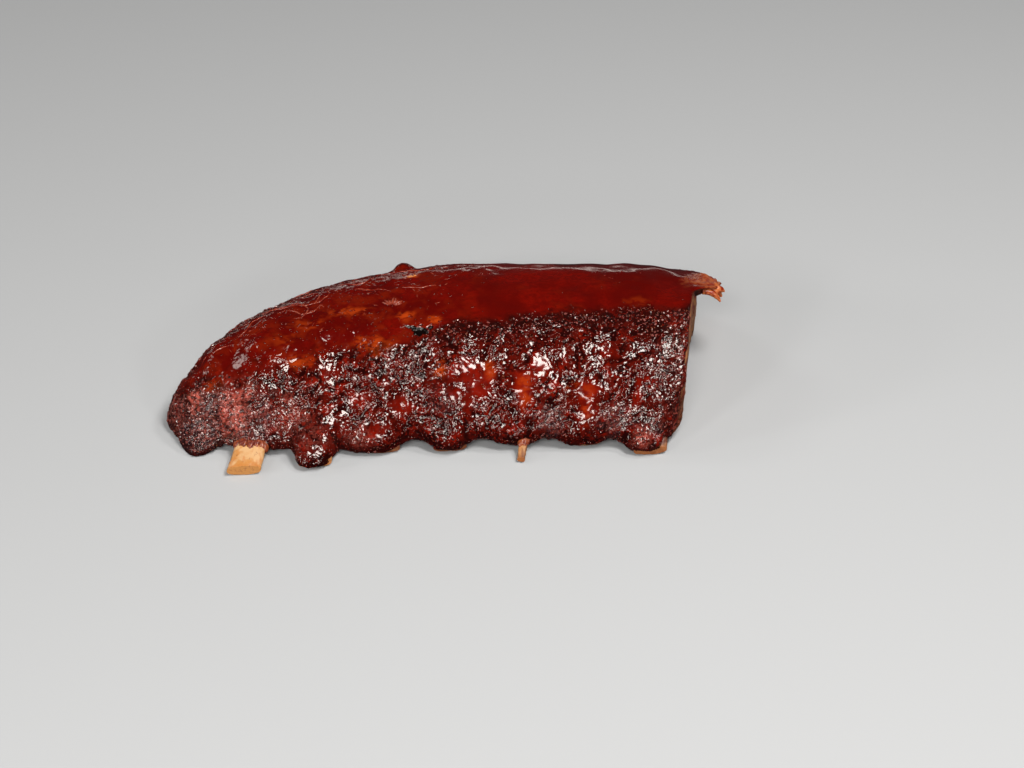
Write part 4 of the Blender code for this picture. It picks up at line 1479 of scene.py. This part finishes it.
@dataclass
class Strands:
    """Thin strands with tapered ends, swept along paths that are laid one by one."""

    name: str
    finish: SpeckFinish
    relief: float = 0.12 * MM
    sides: int = 7
    relief_size: float = 0.9 * MM
    blunt: float = 0.25
    paths: list[Array] = field(default_factory=list)
    thicknesses: list[Array] = field(default_factory=list)

    def lay(self, path: Array, thickness: float, root: float = 0.0, fullness: float = 1.5) -> None:
        """Lay one strand.

        Args:
            path: Its points.
            thickness: Its radius in the middle, or at its root if it has one.
            root: 1 if it is thickest where it starts, and 0 if both its ends are thin.
            fullness: How far along it stays thick, if it has a root.
        """
        share = np.linspace(0, 1, len(path))
        both = 1 - np.abs(2 * share - 1) ** 3
        one = 1 - share**fullness
        self.paths.append(path)
        full = both * (1 - root) + one * root
        self.thicknesses.append(thickness * (self.blunt + (1 - self.blunt) * full))

    def tree(self) -> Growth:
        """The tree that sweeps a round section along each path."""
        g = Growth(self.name)
        sides = g.take("Sides", "NodeSocketInt")
        relief, relief_size = g.take("Relief depth"), g.take("Relief size")
        curve = g.node("GeometryNodeMeshToCurve")
        g.feed(curve.inputs["Mesh"], g.geometry)
        g.close(g.worn(g.sweep(curve.outputs[0], sides, g.named("thickness")), relief, relief_size))
        return g

    def build(self) -> bpy.types.Object:
        """Sweep every strand laid so far, as one piece."""
        host = path_host(f"{self.name}_paths", self.paths, {"thickness": self.thicknesses})
        return self.tree().grow(host, self.name, {
            "Sides": self.sides, "Relief depth": self.relief, "Relief size": self.relief_size,
            "Finish": self.finish.material(),
        })


@dataclass
class GlazeThreads:
    """Where the set glaze stands in threads and small ridges on the slab."""

    slab: MeatSlab
    seed: int = 5
    step: float = 0.7 * MM
    # Start along the rack and behind the front edge, heading in degrees, and length of each long thread
    long_threads: tuple[tuple[float, float, float, float], ...] = (
        (-72, 44, 24, 30), (-66, 40, 22, 22), (-58, 52, 25, 34), (-44, 58, 14, 26), (-30, 66, 12, 20),
        (-80, 30, 30, 16), (-52, 44, 20, 14), (-38, 52, 8, 16), (-14, 66, -4, 18), (-90, 20, 42, 12),
        (-20, 50, 12, 14), (-62, 58, 30, 12),
    )
    long_radius: float = 0.31 * MM
    long_sway: float = 0.10
    # A fan of ridges: its place, its first heading and the turn to the next in degrees, and their lengths
    fan_at: Pair = (-23, 38.5)
    fan_ridges: int = 8
    fan_headings: Pair = (20, 17)
    fan_start: float = 1.2 * MM
    fan_lengths: Pair = (3.4, 5.2)
    fan_radius: float = 0.50 * MM
    fan_sway: float = 0.03
    # Short threads: between which places, over which part of the width, and their lengths and radii
    short_count: int = 100
    short_places: Pair = (-92, -2)
    short_behind: float = 0.32
    short_over: float = 0.48
    short_lengths: Pair = (1.2, 3.2)
    short_radii: Pair = (0.10, 0.20)
    short_sway: float = 0.22
    lift: float = 0.02 * MM

    def path(
        self,
        x: float,
        behind: float,
        heading: float,
        length: float,
        sway: float,
        rng: np.random.Generator,
    ) -> Array:
        """A path that wanders over the skin from a place, in metres and radians."""
        points = []
        turn = 0.0
        for _ in range(max(4, round(length / self.step))):
            point, normal = self.slab.surface(x, behind)
            points.append(point + normal * self.lift)
            turn = 0.7 * turn + sway * rng.standard_normal()
            heading += turn
            x += self.step * math.cos(heading)
            behind += self.step * math.sin(heading)
        return np.array(points)

    def build(self, finish: SpeckFinish) -> bpy.types.Object:
        """Lay the threads and sweep them."""
        rng = np.random.default_rng(self.seed)
        strands = Strands("glaze_threads", finish)
        for x, behind, heading, length in self.long_threads:
            path = self.path(x * MM, behind * MM, math.radians(heading), length * MM, self.long_sway, rng)
            strands.lay(path, self.long_radius)
        for k in range(self.fan_ridges):
            heading = math.radians(self.fan_headings[0] + self.fan_headings[1] * k)
            x = self.fan_at[0] * MM + self.fan_start * math.cos(heading)
            behind = self.fan_at[1] * MM + self.fan_start * math.sin(heading)
            path = self.path(x, behind, heading, rng.uniform(*self.fan_lengths) * MM, self.fan_sway, rng)
            strands.lay(path, self.fan_radius)
        for _ in range(self.short_count):
            x, share = rng.uniform(*self.short_places) * MM, rng.uniform(0, 1)
            width = self.slab.form.width * float(self.slab.form.width_share(np.array(x)))
            behind = (self.short_behind + self.short_over * share) * width
            heading, length = rng.uniform(0, math.tau), rng.uniform(*self.short_lengths) * MM
            path = self.path(x, behind, heading, length, self.short_sway, rng)
            strands.lay(path, rng.uniform(*self.short_radii) * MM)
        return strands.build()


@dataclass
class TornFibres:
    """Shreds of meat at the torn end, and round each bone where it leaves the meat."""

    slab: MeatSlab
    bones: RibBones
    seed: int = 9
    end_count: int = 16
    end_lengths: Pair = (4.0, 6.8)
    end_radii: Pair = (0.9, 1.7)
    cuff_count: int = 28
    cuff_roots: Pair = (1.8, 2.4)
    cuff_radii: Pair = (0.85, 1.15)
    # A longer tongue of meat on the bare bone: its angle round the bone, its width and how much longer it is
    tongue_at: float = 1.75
    tongue_spread: float = 0.42
    tongue_length: float = 3.0
    clearance: float = 0.3 * MM

    def at_end(self, strands: Strands, rng: np.random.Generator) -> None:
        """Lay the shreds of the torn end."""
        edge = self.slab.points[-1, : self.slab.back]
        behind = self.slab.behind[-1, : self.slab.back]
        tip = int(np.argmax(edge[:, 0]))
        for _ in range(self.end_count):
            aside = float(np.clip(rng.normal(-1.0, 3.2), -6.5, 5.0)) * MM
            index = int(np.argmin(np.abs(behind - behind[tip] - aside)))
            start = edge[index] - np.array((rng.uniform(3.5, 6.0), 0, rng.uniform(0.9, 1.8))) * MM
            heading = unit(np.array((1.0, rng.normal(0, 0.16), rng.normal(-0.12, 0.10))))
            length = rng.uniform(*self.end_lengths) * MM
            bend = np.array((-0.4, rng.normal(0, 0.8), rng.normal(-1.5, 0.6))) * MM
            share = np.linspace(0, 1, 12)[:, None]
            path = start + heading * length * share + bend * share**3
            strands.lay(path, rng.uniform(*self.end_radii) * MM, 1.0, 5.0)

    def at_bone(self, strands: Strands, number: int, rng: np.random.Generator) -> None:
        """Lay the shreds that cling to a bone in front of the meat."""
        shape = self.bones.shape(number)
        line, lip = shape["line"], self.slab.form.front_y - self.bones.cuff_from[number] * MM
        for k in range(self.cuff_count):
            angle = math.radians(5 + 170 * (k + rng.uniform(-0.3, 0.3)) / self.cuff_count)
            wave = math.sin(2.1 * angle + number) + 0.6 * math.sin(5.3 * angle + 1.3)
            wave += 0.5 * math.sin(11.0 * angle)
            if number == 0:
                wave += self.tongue_length * math.exp(-(((angle - self.tongue_at) / self.tongue_spread) ** 2))
            start = lip + rng.uniform(*self.cuff_roots) * MM
            length = (3.0 + 0.8 * wave + rng.uniform(-0.3, 0.4)) * MM
            points, drift = [], rng.normal(0, 0.03)
            for y in np.linspace(start, start - length, 9):
                angle += drift
                at = [np.interp(y, line[:, 1], line[:, i]) for i in range(3)]
                wide, high = (np.interp(y, line[:, 1], shape[name]) for name in ("half_width", "half_height"))
                z = max(at[2] + math.sin(angle) * high, self.clearance)
                points.append((at[0] + math.cos(angle) * wide, y, z))
            strands.lay(np.array(points), rng.uniform(*self.cuff_radii) * MM, 1.0, 7.0)

    def build(self, at_end: SpeckFinish, at_bones: SpeckFinish) -> list[bpy.types.Object]:
        """Lay and sweep them, as one piece at the end and one at the bones."""
        rng = np.random.default_rng(self.seed)
        end = Strands("torn_end_fibres", at_end, 0.5 * MM, 12)
        cuffs = Strands("bone_cuff_fibres", at_bones, 0.4 * MM, 9)
        self.at_end(end, rng)
        for number in range(len(self.bones.form.ribs)):
            if self.bones.cuff_from[number] is not None:
                self.at_bone(cuffs, number, rng)
        return [end.build(), cuffs.build()]


@dataclass
class Scattering:
    """One kind of small thing, scattered over the skin where a zone of it says so."""

    name: str
    zone: str
    finish: SpeckFinish
    density: float
    smallest: float
    largest: float
    flatness: float
    sink: float
    seed: int
    unevenness: float = 0.5
    rounded: bool = True
    fineness: int = 1
    # The longest one, as a share of its width
    longest: float = 1.7

    def tree(self) -> Growth:
        """The tree that scatters lumps on a skin."""
        g = Growth(self.name)
        density, seed = g.take("Density"), g.take("Seed", "NodeSocketInt")
        smallest, largest = g.take("Smallest"), g.take("Largest")
        flatness, sink = g.take("Flatness"), g.take("Sink")
        scatter = g.node("GeometryNodeDistributePointsOnFaces", distribute_method="RANDOM")
        g.feed(scatter.inputs["Mesh"], g.geometry)
        g.feed(scatter.inputs["Density"], g.maths("MULTIPLY", g.named(self.zone), density))
        g.feed(scatter.inputs["Seed"], seed)
        ball = g.node("GeometryNodeMeshIcoSphere")
        g.feed(ball.inputs["Radius"], 0.5)
        g.feed(ball.inputs["Subdivisions"], self.fineness)
        facing = g.node("FunctionNodeAlignRotationToVector", axis="Z")
        g.feed(facing.inputs["Vector"], scatter.outputs["Normal"])
        turned = g.node("FunctionNodeRotateRotation", rotation_space="LOCAL")
        around = g.node("FunctionNodeAxisAngleToRotation")
        g.feed(around.inputs["Axis"], (0, 0, 1))
        g.feed(around.inputs["Angle"], g.random(0.0, 2 * math.pi, seed))
        g.feed(turned.inputs[0], facing.outputs[0])
        g.feed(turned.inputs[1], around.outputs[0])
        size = g.random(smallest, largest, g.maths("ADD", seed, 1))
        longer = g.random(1.0, self.longest, g.maths("ADD", seed, 2))
        scale = g.node("ShaderNodeCombineXYZ")
        g.feed(scale.inputs["X"], g.maths("MULTIPLY", size, longer))
        g.feed(scale.inputs["Y"], size)
        g.feed(scale.inputs["Z"], g.maths("MULTIPLY", size, flatness))
        lower = g.vector_maths("SCALE", scatter.outputs["Normal"])
        g.feed(lower.inputs["Scale"], g.maths("MULTIPLY", sink, -1.0))
        sunk = g.node("GeometryNodeSetPosition")
        g.feed(sunk.inputs["Geometry"], scatter.outputs["Points"])
        g.feed(sunk.inputs["Offset"], lower.outputs[0])
        copies = g.node("GeometryNodeInstanceOnPoints")
        uneven = g.take("Unevenness")
        g.feed(copies.inputs["Points"], sunk.outputs[0])
        g.feed(copies.inputs["Instance"], ball.outputs["Mesh"])
        g.feed(copies.inputs["Rotation"], turned.outputs[0])
        g.feed(copies.inputs["Scale"], scale.outputs[0])
        real = g.node("GeometryNodeRealizeInstances")
        g.feed(real.inputs[0], copies.outputs[0])
        g.close(g.worn(real.outputs[0], g.maths("MULTIPLY", uneven, largest), largest), self.rounded)
        return g

    def build(self, skin: bpy.types.Mesh) -> bpy.types.Object:
        """Scatter the things over a skin."""
        log.info("%s: over the zone %s", self.name, self.zone)
        host = add_object(f"{self.name}_host", skin.copy())
        host.data.materials.clear()
        return self.tree().grow(host, self.name, {
            "Density": self.density, "Seed": self.seed, "Smallest": self.smallest, "Largest": self.largest,
            "Flatness": self.flatness, "Sink": self.sink, "Unevenness": self.unevenness,
            "Finish": self.finish.material(),
        })


# --- studio ------------------------------------------------------------------------------------------


@dataclass(frozen=True)
class Softbox:
    """A soft light that is aimed at the middle of the rack."""

    name: str
    place: Triple
    size: Pair
    power: float
    colour: Colour = (1.0, 0.925, 0.855)
    aim: Triple = (0.0, 0.0, 0.02)

    def build(self) -> None:
        """Hang the light."""
        data = bpy.data.lights.new(self.name, "AREA")
        data.shape = "RECTANGLE"
        data.size, data.size_y = self.size
        data.energy = self.power
        data.color = self.colour
        light = bpy.data.objects.new(self.name, data)
        light.location = self.place
        light.rotation_euler = (Vector(self.aim) - Vector(self.place)).to_track_quat("-Z", "Y").to_euler()
        bpy.context.scene.collection.objects.link(light)


@dataclass(frozen=True)
class Studio:
    """A pale floor, soft lights and the camera."""

    camera_place: Triple = (24.1 * MM, -885.8 * MM, 600.8 * MM)
    camera_pitch: float = 34.0
    lens: float = 97.24
    sensor_width: float = 36.0
    clip: Pair = (0.01, 20.0)
    floor_radius: float = 4.0
    floor_sides: int = 64
    world_colour: Colour = (0.90, 0.92, 0.95)
    world_strength: float = 0.025
    floor: FloorFinish = FloorFinish()
    lights: tuple[Softbox, ...] = (
        Softbox("key_strip", (0.33, -0.36, 0.95), (0.21, 0.38), 8.8),
        Softbox("key_front", (-0.10, -0.97, 0.80), (0.28, 0.22), 5.6),
        Softbox("front_left", (-0.62, -0.80, 0.52), (0.18, 0.17), 2.9),
        Softbox("left_side", (-1.05, -0.32, 0.42), (0.20, 0.18), 2.6),
        Softbox("top_right", (0.52, 0.00, 0.92), (0.14, 0.14), 2.8),
        Softbox("front_right", (0.60, -0.95, 0.60), (0.14, 0.13), 2.2),
        Softbox("front_low", (-0.10, -1.35, 0.45), (0.28, 0.09), 2.3),
        Softbox("back_left", (-0.9, 0.5, 0.9), (0.3, 0.3), 2.0),
        Softbox("back_strip", (0.0, 1.45, 0.05), (1.8, 0.045), 0.8),
    )

    def build(self) -> None:
        """Set up the floor, the lights and the camera."""
        corners = [
            (self.floor_radius * math.cos(a), self.floor_radius * math.sin(a), 0.0)
            for a in np.linspace(0, 2 * math.pi, self.floor_sides, endpoint=False)
        ]
        mesh = bpy.data.meshes.new("floor")
        mesh.from_pydata(corners, [], [tuple(range(len(corners)))])
        mesh.materials.append(self.floor.material())
        floor = add_object("floor", mesh)
        # Seen in the wet sauce, the pale floor would grey it
        floor.visible_glossy = False
        for light in self.lights:
            light.build()
        world = bpy.data.worlds.new("studio")
        world.use_nodes = True
        background = world.node_tree.nodes["Background"]
        background.inputs["Color"].default_value = (*self.world_colour, 1.0)
        background.inputs["Strength"].default_value = self.world_strength
        bpy.context.scene.world = world
        data = bpy.data.cameras.new("camera")
        data.lens = self.lens
        data.sensor_width = self.sensor_width
        data.clip_start, data.clip_end = self.clip
        camera = bpy.data.objects.new("camera", data)
        camera.location = self.camera_place
        camera.rotation_euler = (math.radians(90 - self.camera_pitch), 0, 0)
        bpy.context.scene.collection.objects.link(camera)
        bpy.context.scene.camera = camera
        bpy.context.scene.view_settings.view_transform = "Standard"


# The paler of its two colours is partly painted highlight on the threads and ridges, partly the glaze's own
# tint
SET_GLAZE = SpeckFinish("set_glaze", (0.230, 0.0420, 0.0230), (0.120, 0.0050, 0.0014), 0.10)
TORN_MEAT = SpeckFinish("torn_meat", (0.500, 0.1550, 0.0520), (0.220, 0.0200, 0.0040), 0.24, 1.8 * MM)
COOKED_MEAT = SpeckFinish("cooked_meat", (0.110, 0.0110, 0.0045), (0.250, 0.0550, 0.0160), 0.34, 1.6 * MM)
SAUCE_DROP = SpeckFinish("sauce_drop", (0.110, 0.0040, 0.0011), (0.060, 0.0024, 0.0009), 0.08)
BURNT_SUGAR = SpeckFinish(
    "burnt_sugar", (0.014, 0.0050, 0.0050), (0.190, 0.0560, 0.0490), 0.12, 1.1 * MM, 0.012 * MM
)
SPICE = SpeckFinish("spice", (0.150, 0.0350, 0.0110), (0.018, 0.0060, 0.0040), 0.30, 1.2 * MM)

SCATTERED = (
    Scattering(
        "sauce_beads", "bead_cover", SAUCE_DROP, density=0.65e6, smallest=0.35 * MM, largest=0.95 * MM,
        flatness=0.55, sink=0.05 * MM, seed=11, unevenness=0.25,
    ),
    Scattering(
        "char_crumbs", "crumb_cover", BURNT_SUGAR, density=1.8e6, smallest=0.30 * MM, largest=1.05 * MM,
        flatness=0.85, sink=0.08 * MM, seed=23, unevenness=0.55, rounded=False,
    ),
    Scattering(
        "spice_flecks", "fleck_cover", SPICE, density=0.20e6, smallest=0.30 * MM, largest=0.70 * MM,
        flatness=0.40, sink=0.02 * MM, seed=37, unevenness=0.6,
    ),
)


def main() -> None:
    """Build the rack piece by piece, and its studio."""
    logging.basicConfig(level=logging.INFO, format="%(message)s")
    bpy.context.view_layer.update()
    form = RackForm()
    slab = MeatSlab(form, Relief(form), ZoneMap(form), BarkFinish())
    meat = slab.build()
    place_piece(meat, Slot.BARK, "meat")
    ribs = RibBones(form, BoneFinish())
    for number, bone in enumerate(ribs.build()):
        place_piece(bone, Slot.BONE, f"rib_bone_{number + 1}")
    place_piece(GlazeThreads(slab).build(SET_GLAZE), Slot.BARK)
    for piece in TornFibres(slab, ribs).build(TORN_MEAT, COOKED_MEAT):
        place_piece(piece, Slot.BARK)
    for kind in SCATTERED:
        place_piece(kind.build(meat.data), Slot.BARK)
    Studio().build()


if __name__ == "__main__":
    main()
